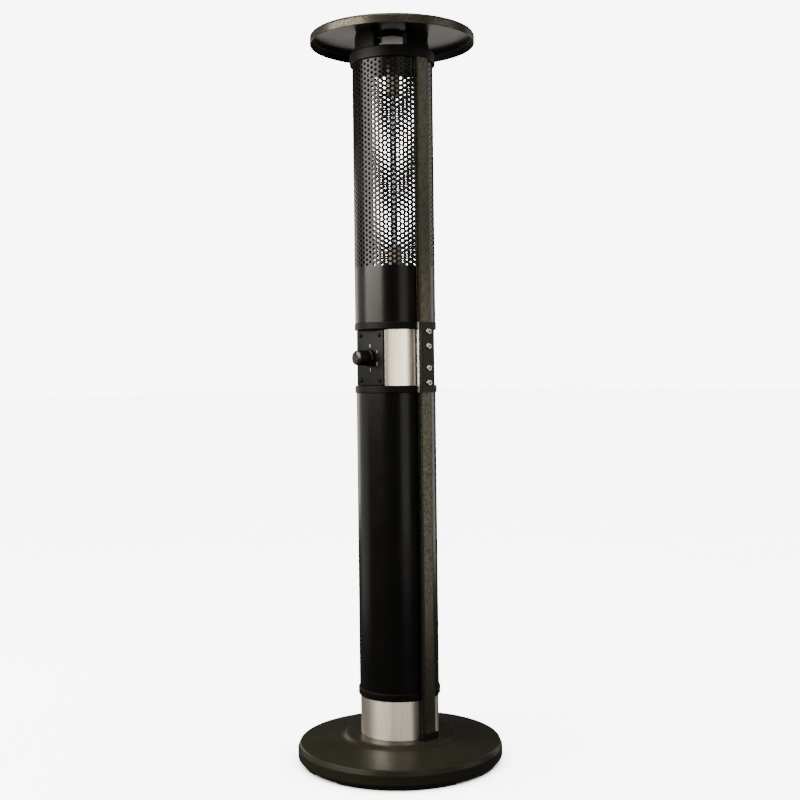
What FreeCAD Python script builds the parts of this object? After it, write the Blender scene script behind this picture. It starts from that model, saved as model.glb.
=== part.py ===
import FreeCAD, Part
import math
import os
import re

import Sketcher
from FreeCAD import Placement, Rotation, Vector

# Free-standing electric column heater, in millimetres.
# The column stands on the Z axis, the floor is z = 0, the control panel faces -Y
# and the two struts stand at +X and -X.

sizes = {
    # Clearances
    "slip": 0.2,                 # between a tube and the ring that takes it
    "play": 0.25,                # round a shank, a bush or a nested box

    # Column tubes and the rings that join them
    "column_radius": 65.0,
    "tube_wall": 1.2,
    "sleeve_step": 1.4,          # bright neck and control housing are this much smaller
    "ring_wall": 2.0,
    "ring_height": 12.0,
    "ring_web": 2.0,             # inward flange that the tube ends seat on
    "ring_ledge": 9.0,
    "ring_round": 1.5,
    "neck_height": 62.6,         # bright neck that shows over the base
    "lower_tube_height": 479.0,
    "housing_height": 90.0,
    "guard_height": 422.5,

    # Base
    "foot_height": 3.0,
    "foot_width": 9.0,
    "foot_sweep": 70.0,
    "base_radius": 167.0,
    "base_wall": 1.5,
    "rim_turn_in": 6.0,          # how far the rim turns in at the floor
    "rim_turn_height": 6.0,
    "rim_height": 14.5,           # upright band of the rim
    "rim_round": 4.5,
    "shoulder_height": 8.0,
    "shoulder_inset": 3.5,
    "shoulder_round": 2.7,
    "cone_step": 8.0,
    "cone_height": 8.1,
    "hub_margin": 11.65,         # hub that shows outside the strut shoes
    "hub_height": 5.5,
    "hub_round": 5.5,
    "wire_hole_radius": 18.0,
    "plate_thickness": 1.5,
    "weight_gap": 8.5,
    "weight_height": 15.0,
    "weight_meat": 10.0,         # round the flange bolts
    "weight_bore_radius": 30.0,
    "weight_round": 2.0,
    "flange_width": 21.6,
    "flange_wall": 2.5,
    "flange_rise": 16.0,
    "base_screw_inset": 30.0,

    # Struts and the splice at the control housing
    "strut_width": 27.5,
    "strut_gap": 0.33,           # between the channel's inner corners and the rings
    "strut_depth": 6.3,
    "strut_wall": 1.5,
    "strut_round": 5.0,
    "shoe_height": 10.0,
    "shoe_floor": 2.5,
    "shoe_wall": 1.6,
    "splice_rise": 6.1,
    "splice_overlap": 11.0,      # past each end of the housing
    "splice_wall": 1.5,
    "splice_round": 1.8,
    "rail_round": 0.6,
    "splice_inner_pitch": 35.0,
    "splice_end": 15.0,          # from the splice's end to its first screw

    # Control panel
    "panel_set": 0.96,           # flat front of the control box behind the window's edges
    "panel_thickness": 1.5,
    "panel_width": 64.0,
    "panel_margin": 0.6,         # between the plate's ends and the rings
    "panel_screw_side": 9.0,
    "panel_screw_end": 7.7,
    "box_depth": 34.0,
    "box_wall": 2.0,
    "box_front": 3.0,
    "switch_width": 30.0,
    "switch_depth": 22.0,
    "bush_radius": 4.8,
    "bush_reach": 4.0,           # how far the bush stands out of the plate
    "spindle_radius": 3.0,
    "spindle_flat": 1.2,         # cut off one side of the spindle
    "spindle_root": 5.5,         # length inside the switch
    "nut_height": 2.4,
    "nut_flats": 13.0,
    "knob_radius": 12.0,
    "knob_skirt_step": 1.75,
    "knob_skirt_height": 5.0,
    "knob_skirt_draft": 0.4,
    "knob_skirt_round": 0.8,
    "knob_root_step": 0.5,
    "knob_root_height": 1.2,
    "knob_length": 30.0,
    "knob_gap": 0.8,
    "knob_nut_gap": 1.1,
    "knob_roof": 5.0,
    "knob_dome": 1.6,
    "knob_dome_width": 5.4,

    # Perforated guard
    "guard_wall": 1.0,
    "hole_diameter": 5.0,
    "hole_pitch": 7.86,
    "guard_plain": 92.5,         # plain band above the upper ring, up to the first row
    "guard_plain_top": 1.0,      # from the last row to the collar

    # Heating element
    "lead_hole_radius": 7.5,     # for the wires, in the two shelves
    "quartz_radius": 6.0,
    "quartz_wall": 1.1,
    "filament_gap": 1.15,
    "filament_wire": 1.1,
    "ceramic_wall": 3.2,
    "ceramic_step": 1.55,
    "ceramic_foot_step": 2.2,
    "ceramic_foot_height": 4.8,
    "ceramic_belt_height": 15.0,
    "ceramic_neck_rise": 2.0,
    "ceramic_height": 32.0,
    "ceramic_socket": 16.0,      # how deep the quartz tube sits
    "stand_radius": 15.0,
    "stand_wall": 1.2,
    "stand_flange_radius": 32.0,
    "pin_hole_radius": 3.0,      # for the element's leads, in stand, hanger and top plate
    "hanger_height": 22.0,
    "hanger_radius": 13.0,

    # Collar and hood
    "collar_wall": 5.0,
    "collar_height": 18.5,
    "collar_socket": 8.0,        # how deep the guard sits in the collar
    "collar_ledge": 8.0,
    "collar_round": 2.0,
    "collar_edge_round": 1.0,
    "post_height": 30.0,
    "post_width": 47.0,
    "post_chamfer_width": 6.0,
    "post_chamfer_height": 9.0,
    "cap_radius": 135.0,
    "cap_wall": 1.5,
    "cap_drop": 15.5,
    "cap_round": 5.0,
    "boss_radius": 26.0,
    "boss_height": 2.4,
    "boss_round": 1.0,
    "boss_stem_radius": 8.0,
    "boss_drop": 5.5,

    # Gland, terminals and safety switches
    "gland_radius": 5.0,
    "gland_flange_radius": 9.0,
    "gland_flange": 3.0,
    "gland_round": 1.2,
    "gland_inset": 3.6,
    "gland_lift": 10.0,          # above the neck flange
    "gland_bore": 3.6,
    "terminal_length": 40.0,
    "terminal_width": 16.0,
    "terminal_height": 18.0,
    "terminal_offset": 16.0,     # behind the axis
    "well_radius": 3.2,
    "well_depth": 9.0,
    "well_pitch": 13.0,
    "tilt_width": 16.0,
    "tilt_depth": 22.0,
    "tilt_height": 26.0,
    "tilt_offset": 46.0,         # outer side from the axis
    "tilt_front": 8.0,
    "cutout_radius": 6.5,
    "cutout_flange_radius": 8.0,
    "cutout_flange": 2.0,
    "cutout_height": 9.0,
    "cutout_round": 1.0,
    "cutout_gap": 4.0,           # from the stand's flange

    # Fasteners
    "bolt_shank": 3.0,
    "bolt_head": 5.25,
    "bolt_head_height": 3.3,
    "bolt_head_round": 2.0,
    "bolt_length": 20.0,
    "small_shank": 2.0,
    "small_head": 3.6,
    "small_head_height": 2.2,
    "small_head_round": 1.3,
    "small_length": 11.0,
    "plate_screw_head": 2.4,
    "splice_nut_flats": 10.0,
    "splice_nut_height": 4.6,
    "screw_tip": 1.9,            # past the splice nut
}

# Sizes that follow from the ones above
derived = {
    "sleeve_radius": "column_radius - sleeve_step",
    "ring_radius": "column_radius + ring_wall",
    "ring_bore": "column_radius - ring_ledge",
    "strut_inner": "sqrt(ring_radius ^ 2 - (strut_width / 2 - strut_wall) ^ 2) + strut_gap",
    "strut_outer": "strut_inner + strut_depth",
    "splice_outer": "strut_outer + splice_rise",
    "splice_length": "housing_height + splice_overlap * 2",
    "splice_outer_pitch": "splice_length - splice_end * 2",
    "splice_nut_seat": "sqrt((sleeve_radius - tube_wall) ^ 2 - splice_nut_flats ^ 2 / 3)",
    "splice_screw_length": "splice_outer - splice_nut_seat + splice_nut_height + screw_tip",
    "hub_radius": "strut_outer + play + shoe_wall + hub_margin",
    "cone_radius": "hub_radius + cone_step",
    "base_edge_radius": "base_radius - rim_turn_in",
    "weight_radius": "base_edge_radius - base_wall - weight_gap",
    "base_screw_circle": "weight_radius - base_screw_inset",
    "flange_radius": "sleeve_radius - tube_wall - slip",
    "flange_foot_bore": "sleeve_radius - flange_width",
    "flange_bolt_circle": "(flange_foot_bore + flange_radius - flange_wall) / 2",
    "weight_boss_radius": "flange_bolt_circle + weight_meat",
    "panel_plane": "sqrt(sleeve_radius ^ 2 - panel_width ^ 2 / 4) - panel_set",
    "panel_height": "housing_height - panel_margin * 2 - slip * 2",
    "panel_screw_x": "panel_width - panel_screw_side * 2",
    "panel_screw_z": "panel_height - panel_screw_end * 2",
    "knob_skirt_radius": "knob_radius + knob_skirt_step",
    "knob_recess_radius": "nut_flats / sqrt(3) + knob_nut_gap",
    "spindle_length": "box_front + panel_thickness + knob_gap + knob_length - knob_roof - play",
    "stand_height": "guard_plain + (ring_height - ring_web) / 2 - plate_thickness",
    "filament_radius": "quartz_radius - quartz_wall - filament_gap - filament_wire / 2",
    "ceramic_neck_radius": "quartz_radius + play + ceramic_wall",
    "ceramic_radius": "ceramic_neck_radius + ceramic_step",
    "shelf_radius": "column_radius - guard_wall - slip * 2",
    "collar_radius": "column_radius + collar_wall",
    "collar_bore": "column_radius - collar_ledge",
    "cap_screw_circle": "(collar_bore + column_radius) / 2",
    "cutout_offset": "stand_flange_radius + cutout_flange_radius + cutout_gap",
}

counts = {"hole_columns": 60, "filament_turns": 40, "base_screws": 4, "posts": 4, "terminals": 3}

doc = FreeCAD.newDocument("ColumnHeater")
sheet = doc.addObject("Spreadsheet::Sheet", "Sizes")
for row, (alias, content) in enumerate({**sizes, **derived}.items(), 1):
    sheet.set("A%d" % row, alias)
    sheet.set("B%d" % row, "=" + content if alias in derived else str(content))
    sheet.setAlias("B%d" % row, alias)
doc.recompute()
aliasWord = re.compile(r"\b(" + "|".join([*sizes, *derived]) + r")\b")


def bound(text):
    return aliasWord.sub(r"Sizes.\1", text)


def value(text):
    result = sheet.evalExpression(bound(text))
    return float(getattr(result, "Value", result))


# Heights of the stack, each worked out from the pieces under it
baseTop = ("foot_height + rim_turn_height + rim_height + shoulder_height"
           " + cone_height + hub_height")
bottomRingZ = baseTop + " + neck_height"
lowerRingZ = bottomRingZ + " + ring_height + lower_tube_height"
upperRingZ = lowerRingZ + " + ring_height + housing_height"
collarZ = upperRingZ + " + ring_height + guard_height"
collarTop = collarZ + " + collar_height"
capUnder = collarTop + " + post_height"
capTop = capUnder + " + cap_wall"
webBelow = " + (ring_height - ring_web) / 2"
webAbove = " + (ring_height + ring_web) / 2"
panelZ = lowerRingZ + " + ring_height + housing_height / 2"
lowerWebTop = lowerRingZ + webAbove
upperWebTop = upperRingZ + webAbove
guardTop = collarZ + " + collar_socket"
topPlateZ = guardTop + " - plate_thickness"
trayTop = upperWebTop + " + plate_thickness"
standTop = trayTop + " + stand_height"
ceramicTop = topPlateZ + " - hanger_height"
plateTop = "foot_height + plate_thickness"
hubUnder = baseTop + " - base_wall"

nodes = []


def place(item, x="0", y="0", z="0", axis=Vector(0, 0, 1), angle=0):
    item.Placement = Placement(Vector(0, 0, 0), Rotation(axis, angle))
    for coordinate, text in (("x", x), ("y", y), ("z", z)):
        if text != "0":
            item.setExpression("Placement.Base." + coordinate, bound(text))
    return item


def node(label, item):
    item.Label = label
    nodes.append(item)
    return item


def originPlane(body, role):
    for feature in body.Origin.OriginFeatures:
        if feature.Role == role:
            return feature


def outlineSketch(body, name, role, corners):
    # closed outline whose every corner is held by two bound distances
    sketch = body.newObject("Sketcher::SketchObject", name)
    sketch.AttachmentSupport = [(originPlane(body, role), "")]
    sketch.MapMode = "FlatFace"
    points = [Vector(value(x), value(y), 0) for x, y in corners]
    count = len(points)
    for index in range(count):
        sketch.addGeometry(Part.LineSegment(points[index], points[(index + 1) % count]), False)
    for index in range(count):
        sketch.addConstraint(Sketcher.Constraint("Coincident", index, 2, (index + 1) % count, 1))
    for index, corner in enumerate(corners):
        for kind, text, axis in (("DistanceX", corner[0], -2), ("DistanceY", corner[1], -1)):
            if text == "0":
                sketch.addConstraint(Sketcher.Constraint("PointOnObject", index, 1, axis))
            else:
                held = sketch.addConstraint(
                    Sketcher.Constraint(kind, index, 1, value(text)))
                sketch.setExpression("Constraints[%d]" % held, bound(text))
    return sketch


def turned(name, corners, rounds=(), sweep=None):
    # body of revolution about Z; rounds are (radius of edge, height of edge, fillet)
    body = doc.addObject("PartDesign::Body", name)
    sketch = outlineSketch(body, name + "_outline", "XZ_Plane", corners)
    spin = body.newObject("PartDesign::Revolution", name + "_turn")
    spin.Profile = sketch
    spin.ReferenceAxis = (sketch, ["V_Axis"])
    spin.Angle = 360
    if sweep:
        spin.setExpression("Angle", bound(sweep))
    doc.recompute()
    last = spin
    for number, (radius, height, fillet) in enumerate(rounds):
        wanted = (value(radius), value(height))
        names = []
        for index, edge in enumerate(last.Shape.Edges, 1):
            curve = edge.Curve
            if isinstance(curve, Part.Circle):
                if math.hypot(curve.Radius - wanted[0], curve.Center.z - wanted[1]) < 0.01:
                    names.append("Edge%d" % index)
        soft = body.newObject("PartDesign::Fillet", "%s_round%d" % (name, number))
        soft.Base = (last, names)
        soft.setExpression("Radius", bound(fillet))
        doc.recompute()
        last = soft
    body.Tip = last
    return body


def extruded(name, role, corners, length, rounds=None):
    # straight prism of an outline; rounds are (fillet, test of an upright edge's end)
    body = doc.addObject("PartDesign::Body", name)
    sketch = outlineSketch(body, name + "_outline", role, corners)
    pad = body.newObject("PartDesign::Pad", name + "_pad")
    pad.Profile = sketch
    pad.setExpression("Length", bound(length))
    doc.recompute()
    last = pad
    if rounds:
        fillet, wanted = rounds
        names = []
        for index, edge in enumerate(pad.Shape.Edges, 1):
            ends = [vertex.Point for vertex in edge.Vertexes]
            if abs(ends[0].z - ends[1].z) > 1e-6 and wanted(ends[0]):
                names.append("Edge%d" % index)
        soft = body.newObject("PartDesign::Fillet", name + "_round")
        soft.Base = (pad, names)
        soft.setExpression("Radius", bound(fillet))
        last = soft
    body.Tip = last
    return body


def cylinder(name, radius, height):
    item = doc.addObject("Part::Cylinder", name)
    item.setExpression("Radius", bound(radius))
    item.setExpression("Height", bound(height))
    return item


def box(name, length, width, height):
    item = doc.addObject("Part::Box", name)
    item.setExpression("Length", bound(length))
    item.setExpression("Width", bound(width))
    item.setExpression("Height", bound(height))
    return item


def fused(name, items):
    item = doc.addObject("Part::MultiFuse", name)
    item.Shapes = items
    return item


def cut(name, base, tools):
    item = doc.addObject("Part::Cut", name)
    item.Base = base
    item.Tool = tools[0] if len(tools) == 1 else fused(name + "_tools", tools)
    return item


def group(label, master, places):
    # copies of one fastener or foot, kept as separate solids in one node
    links = []
    for number, where in enumerate(places):
        link = doc.addObject("App::Link", "%s_%d" % (label, number))
        link.LinkedObject = master
        link.Placement = where
        links.append(link)
    item = doc.addObject("Part::Compound", label)
    item.Links = links
    return node(label, item)


def around(count, start=0.0):
    return [start + 360.0 * index / count for index in range(count)]


def onCircle(radius, height, angle):
    turn = Rotation(Vector(0, 0, 1), angle)
    return Placement(turn.multVec(Vector(value(radius), 0, 0)) + Vector(0, 0, value(height)), turn)


def drills(name, radius, depth, circle, bottom, angles):
    tools = []
    for number, angle in enumerate(angles):
        tool = cylinder("%s_%d" % (name, number), radius, depth)
        x = "%s * %.9f" % (circle, math.cos(math.radians(angle)))
        y = "%s * %.9f" % (circle, math.sin(math.radians(angle)))
        tools.append(place(tool, "(" + x + ")", "(" + y + ")", bottom))
    return tools


def screw(name, kind, head, length):
    # round head that sits on z = 0 with its shank below
    shank = kind + "_shank"
    top = kind + "_head_height"
    return turned(name, [("0", "-(" + length + ")"), (shank, "-(" + length + ")"),
                         (shank, "0"), (head, "0"), (head, top), ("0", top)],
                  [(head, top, kind + "_head_round")])


def hexNut(name, flats, height):
    # a Part::Prism has six sides unless it is told otherwise
    nut = doc.addObject("Part::Prism", name)
    nut.setExpression("Circumradius", bound(flats + " / sqrt(3)"))
    nut.setExpression("Height", bound(height))
    return nut


frontFacing = Vector(1, 0, 0)
quarter = 90
postAngles = around(counts["posts"])
squareAngles = around(counts["base_screws"], quarter / 2)


# Base
def makeBase():
    edgeZ = "foot_height"
    bandZ = "foot_height + rim_turn_height"
    bandTop = bandZ + " + rim_height"
    shoulderZ = bandTop + " + shoulder_height"
    coneZ = shoulderZ + " + cone_height"
    inner = " - base_wall"
    shell = turned("base_shell", [
        ("base_edge_radius", edgeZ), ("base_radius", bandZ), ("base_radius", bandTop),
        ("base_radius - shoulder_inset", shoulderZ), ("cone_radius", coneZ),
        ("hub_radius", baseTop), ("wire_hole_radius", baseTop),
        ("wire_hole_radius", baseTop + inner), ("hub_radius" + inner, baseTop + inner),
        ("cone_radius" + inner, coneZ + inner),
        ("base_radius - shoulder_inset" + inner, shoulderZ + inner),
        ("base_radius" + inner, bandTop), ("base_radius" + inner, bandZ),
        ("base_edge_radius" + inner, edgeZ)],
        [("base_radius", bandZ, "rim_round"), ("base_radius", bandTop, "rim_round"),
         ("base_radius - shoulder_inset", shoulderZ, "shoulder_round"),
         ("cone_radius", coneZ, "hub_round"), ("hub_radius", baseTop, "hub_round")])
    holes = drills("base_cover_hole", "bolt_shank + play", "base_wall * 3",
                   "flange_bolt_circle", hubUnder + " - base_wall", squareAngles)
    node("base_cover", cut("base_cover", shell, holes))

    casting = turned("weight_casting", [
        ("weight_bore_radius", plateTop), ("weight_radius", plateTop),
        ("weight_radius", plateTop + " + weight_height"),
        ("weight_boss_radius", plateTop + " + weight_height"),
        ("weight_boss_radius", hubUnder), ("weight_bore_radius", hubUnder)],
        [("weight_radius", plateTop + " + weight_height", "weight_round")])
    tapped = drills("weight_tap", "bolt_shank + play", "bolt_length",
                    "flange_bolt_circle", baseTop + " - bolt_length", squareAngles)
    fixing = drills("weight_fix", "small_shank + play", "small_length",
                    "base_screw_circle", plateTop, postAngles)
    node("base_weight", cut("base_weight", casting, tapped + fixing))

    disc = turned("plate_disc", [
        ("weight_bore_radius", "foot_height"), ("base_edge_radius - base_wall - slip", "foot_height"),
        ("base_edge_radius - base_wall - slip", plateTop), ("weight_bore_radius", plateTop)])
    passing = drills("plate_hole", "small_shank + play", "plate_thickness * 3",
                     "base_screw_circle", "foot_height - plate_thickness", postAngles)
    node("base_plate", cut("base_plate", disc, passing))

    footOuter = "base_edge_radius - base_wall - slip"
    foot = turned("foot_pad", [
        (footOuter + " - foot_width", "0"), (footOuter, "0"),
        (footOuter, "foot_height"), (footOuter + " - foot_width", "foot_height")],
        sweep="foot_sweep")
    half = value("foot_sweep") / 2
    group("base_feet", foot, [Placement(Vector(), Rotation(Vector(0, 0, 1), angle - half))
                              for angle in squareAngles])
    fixer = screw("small_screw", "small", "small_head", "small_length")
    upward = Rotation(Vector(1, 0, 0), 180)
    group("base_plate_screws", fixer,
          [Placement(onCircle("base_screw_circle", "foot_height", angle).Base, upward)
           for angle in postAngles])
    return fixer


# Neck
def makeNeck():
    outer = "flange_radius"
    flange = turned("flange_turning", [
        ("flange_foot_bore", baseTop), (outer, baseTop),
        (outer, baseTop + " + flange_rise"), (outer + " - flange_wall", baseTop + " + flange_rise"),
        (outer + " - flange_wall", baseTop + " + flange_wall"),
        ("flange_foot_bore", baseTop + " + flange_wall")])
    holes = drills("flange_hole", "bolt_shank + play", "flange_wall * 3",
                   "flange_bolt_circle", baseTop + " - flange_wall", squareAngles)
    node("neck_flange", cut("neck_flange", flange, holes))
    bolt = screw("flange_bolt", "bolt", "bolt_head", "bolt_length - play")
    group("flange_bolts", bolt,
          [onCircle("flange_bolt_circle", baseTop + " + flange_wall", angle)
           for angle in squareAngles])

    sleeve = turned("neck_tube", [
        ("sleeve_radius - tube_wall", baseTop), ("sleeve_radius", baseTop),
        ("sleeve_radius", bottomRingZ + webBelow),
        ("sleeve_radius - tube_wall", bottomRingZ + webBelow)])
    glandZ = baseTop + " + flange_rise + gland_lift"
    hole = place(cylinder("gland_hole", "gland_radius + slip", "column_radius"),
                 z=glandZ, axis=frontFacing, angle=-quarter)
    node("neck_sleeve", cut("neck_sleeve", sleeve, [hole]))
    gland = turned("cord_gland", [
        ("gland_bore", "sleeve_radius - gland_inset"),
        ("gland_radius", "sleeve_radius - gland_inset"),
        ("gland_radius", "sleeve_radius + play"),
        ("gland_flange_radius", "sleeve_radius + play"),
        ("gland_flange_radius", "sleeve_radius + gland_flange"),
        ("gland_bore", "sleeve_radius + gland_flange")],
        [("gland_flange_radius", "sleeve_radius + gland_flange", "gland_round")])
    place(gland, z=glandZ, axis=frontFacing, angle=-quarter)
    node("cord_gland", gland)


# Rings and plain tubes
def joiningRing(label, bottom, below, above):
    # outer band with an inward web; below and above are the radii of the tubes it takes
    top = bottom + " + ring_height"
    ring = turned(label, [
        (below + " + slip", bottom), ("ring_radius", bottom), ("ring_radius", top),
        (above + " + slip", top), (above + " + slip", bottom + webAbove),
        ("ring_bore", bottom + webAbove), ("ring_bore", bottom + webBelow),
        (below + " + slip", bottom + webBelow)],
        [("ring_radius", bottom, "ring_round"), ("ring_radius", top, "ring_round")])
    node(label, ring)


def makeRings():
    joiningRing("bottom_ring", bottomRingZ, "sleeve_radius", "column_radius")
    joiningRing("lower_mid_ring", lowerRingZ, "column_radius", "sleeve_radius")
    joiningRing("upper_mid_ring", upperRingZ, "sleeve_radius", "column_radius")
    tube = turned("lower_tube", [
        ("column_radius - tube_wall", bottomRingZ + webAbove),
        ("column_radius", bottomRingZ + webAbove), ("column_radius", lowerRingZ + webBelow),
        ("column_radius - tube_wall", lowerRingZ + webBelow)])
    node("lower_tube", tube)


# Control housing and what it holds
windowLow = lowerRingZ + " + ring_height + panel_margin"


def makeHousing():
    tube = turned("housing_tube", [
        ("sleeve_radius - tube_wall", lowerWebTop), ("sleeve_radius", lowerWebTop),
        ("sleeve_radius", upperRingZ + webBelow),
        ("sleeve_radius - tube_wall", upperRingZ + webBelow)])
    boxHalf = "(panel_width / 2 + slip)"
    window = box("housing_window", boxHalf + " * 2", "column_radius", "panel_height + slip * 2")
    place(window, "-" + boxHalf, "-column_radius", windowLow)
    node("control_housing", cut("control_housing", tube, [window] + spliceHoles("housing")))

    shelf = turned("chassis_plate", [
        ("lead_hole_radius", lowerWebTop), ("sleeve_radius - tube_wall - slip", lowerWebTop),
        ("sleeve_radius - tube_wall - slip", lowerWebTop + " + plate_thickness"),
        ("lead_hole_radius", lowerWebTop + " + plate_thickness")])
    node("chassis_plate", shelf)


def spliceHeights():
    return [panelZ + " + " + sign + pitch + " / 2"
            for pitch in ("splice_inner_pitch", "splice_outer_pitch") for sign in ("", "-")]


def spliceHoles(name):
    # clearance holes along X, right through both sides of the column
    tools = []
    for number, height in enumerate(spliceHeights()):
        tool = cylinder("%s_hole_%d" % (name, number), "bolt_shank + play", "splice_outer * 3")
        tools.append(place(tool, "-splice_outer * 1.5", "0", height, Vector(0, 1, 0), quarter))
    return tools


def makeControls(fixer):
    # moulded box that fills the window, open at the back
    half = "panel_width / 2"
    shell = box("box_outer", "panel_width", "box_depth", "panel_height")
    place(shell, "-" + half, "-panel_plane", windowLow + " + slip")
    hollow = box("box_hollow", "panel_width - box_wall * 2", "box_depth", "panel_height - box_wall * 2")
    place(hollow, "-" + half + " + box_wall", "-panel_plane + box_front", windowLow + " + slip + box_wall")
    bushHole = frontTool("box_bush_hole", "bush_radius + play", "box_front * 3",
                         "panel_plane - box_front * 2")
    cornerHoles = panelCorners("box_corner", "small_shank + play", "box_front * 3",
                               "panel_plane - box_front * 2")
    node("control_box", cut("control_box", shell, [hollow, bushHole] + cornerHoles))

    plate = box("panel_plate", "panel_width", "panel_thickness", "panel_height")
    place(plate, "-" + half, "-panel_plane - panel_thickness", windowLow + " + slip")
    plateBush = frontTool("plate_bush_hole", "bush_radius + play", "panel_thickness * 3",
                          "panel_plane - panel_thickness")
    plateCorners = panelCorners("plate_corner", "small_shank + play", "panel_thickness * 3",
                                "panel_plane - panel_thickness")
    node("control_panel", cut("control_panel", plate, [plateBush] + plateCorners))

    outward = Rotation(Vector(1, 0, 0), quarter)
    face = -value("panel_plane + panel_thickness")
    places = []
    for x in (-0.5, 0.5):
        for z in (-0.5, 0.5):
            corner = Vector(x * value("panel_screw_x"), face, value(panelZ) + z * value("panel_screw_z"))
            places.append(Placement(corner, outward))
    group("panel_screws", fixer, places)

    makeSwitch()
    makeKnob()


def frontTool(name, radius, depth, start):
    # cylinder along -Y at the panel's centre, from a distance off the axis outwards
    tool = cylinder(name, radius, depth)
    return place(tool, "0", "-(" + start + ")", panelZ, frontFacing, quarter)


def panelCorners(name, radius, depth, start):
    tools = []
    for number in range(4):
        x = ("", "-")[number % 2] + "panel_screw_x / 2"
        z = panelZ + (" + ", " - ")[number // 2] + "panel_screw_z / 2"
        tool = cylinder("%s_%d" % (name, number), radius, depth)
        tools.append(place(tool, x, "-(" + start + ")", z, frontFacing, quarter))
    return tools


def makeSwitch():
    front = "panel_plane - box_front"
    body = box("switch_body", "switch_width", "switch_depth", "switch_width")
    place(body, "-switch_width / 2", "-(" + front + ")", panelZ + " - switch_width / 2")
    bush = frontTool("switch_bush", "bush_radius", "box_front + panel_thickness + bush_reach", front)
    bore = frontTool("switch_bore", "spindle_radius + play", "switch_depth * 3",
                     front + " - spindle_root - play")
    node("rotary_switch", cut("rotary_switch", fused("switch_solid", [body, bush]), [bore]))

    nut = hexNut("nut_prism", "nut_flats", "nut_height")
    place(nut, "0", "-(panel_plane + panel_thickness)", panelZ, frontFacing, quarter)
    nutBore = frontTool("nut_bore", "bush_radius + play", "nut_height * 3", "panel_plane")
    node("switch_nut", cut("switch_nut", nut, [nutBore]))


def makeKnob():
    # the spindle starts inside the switch and ends in the knob's blind bore
    start = "panel_plane - box_front - spindle_root"
    length = "spindle_root + spindle_length"
    rod = frontTool("spindle_rod", "spindle_radius", length, start)
    flat = box("spindle_flat", "spindle_radius * 2", "spindle_length * 2", "spindle_radius")
    flatStart = "panel_plane + panel_thickness + bush_reach + knob_gap"
    place(flat, "-spindle_radius", "-(" + flatStart + ") - spindle_length * 2",
          panelZ + " - spindle_radius * 2 + spindle_flat")
    node("switch_spindle", cut("switch_spindle", rod, [flat]))

    heel = "panel_plane + panel_thickness + knob_gap"
    front = heel + " + knob_length"
    floor = heel + " + bush_reach"
    boreEnd = "panel_plane - box_front + spindle_length + play"
    knob = turned("control_knob", [
        ("knob_recess_radius", heel), ("knob_skirt_radius", heel),
        ("knob_skirt_radius - knob_skirt_draft", heel + " + knob_skirt_height"),
        ("knob_radius + knob_root_step", heel + " + knob_skirt_height + knob_root_height"),
        ("knob_radius", front + " - knob_dome"), ("knob_radius - knob_dome_width", front),
        ("0", front), ("0", boreEnd), ("spindle_radius + play", boreEnd),
        ("spindle_radius + play", floor), ("knob_recess_radius", floor)],
        [("knob_radius", front + " - knob_dome", "knob_dome"),
         ("knob_skirt_radius - knob_skirt_draft", heel + " + knob_skirt_height", "knob_skirt_round")])
    place(knob, "0", "0", panelZ, frontFacing, quarter)
    node("control_knob", knob)


# Terminals and safety switches on the two shelves
def makeElectrics():
    shelfTop = lowerWebTop + " + plate_thickness"
    block = box("terminal_body", "terminal_length", "terminal_width", "terminal_height")
    place(block, "-terminal_length / 2", "terminal_offset", shelfTop)
    tools = []
    for number in range(counts["terminals"]):
        well = cylinder("terminal_well_%d" % number, "well_radius", "well_depth")
        across = number - (counts["terminals"] - 1) / 2
        tools.append(place(well, "well_pitch * (%.1f)" % across, "terminal_offset + terminal_width / 2",
                           shelfTop + " + terminal_height - well_depth"))
    node("terminal_block", cut("terminal_block", block, tools))

    case = box("tilt_case", "tilt_width", "tilt_depth", "tilt_height")
    place(case, "-tilt_offset", "-tilt_front", shelfTop)
    node("tilt_switch", case)

    flangeTop = trayTop + " + cutout_flange"
    top = trayTop + " + cutout_height"
    disc = turned("thermal_cutout", [
        ("0", trayTop), ("cutout_flange_radius", trayTop), ("cutout_flange_radius", flangeTop),
        ("cutout_radius", flangeTop), ("cutout_radius", top), ("0", top)],
        [("cutout_radius", top, "cutout_round")])
    place(disc, "cutout_offset")
    node("thermal_cutout", disc)


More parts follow.
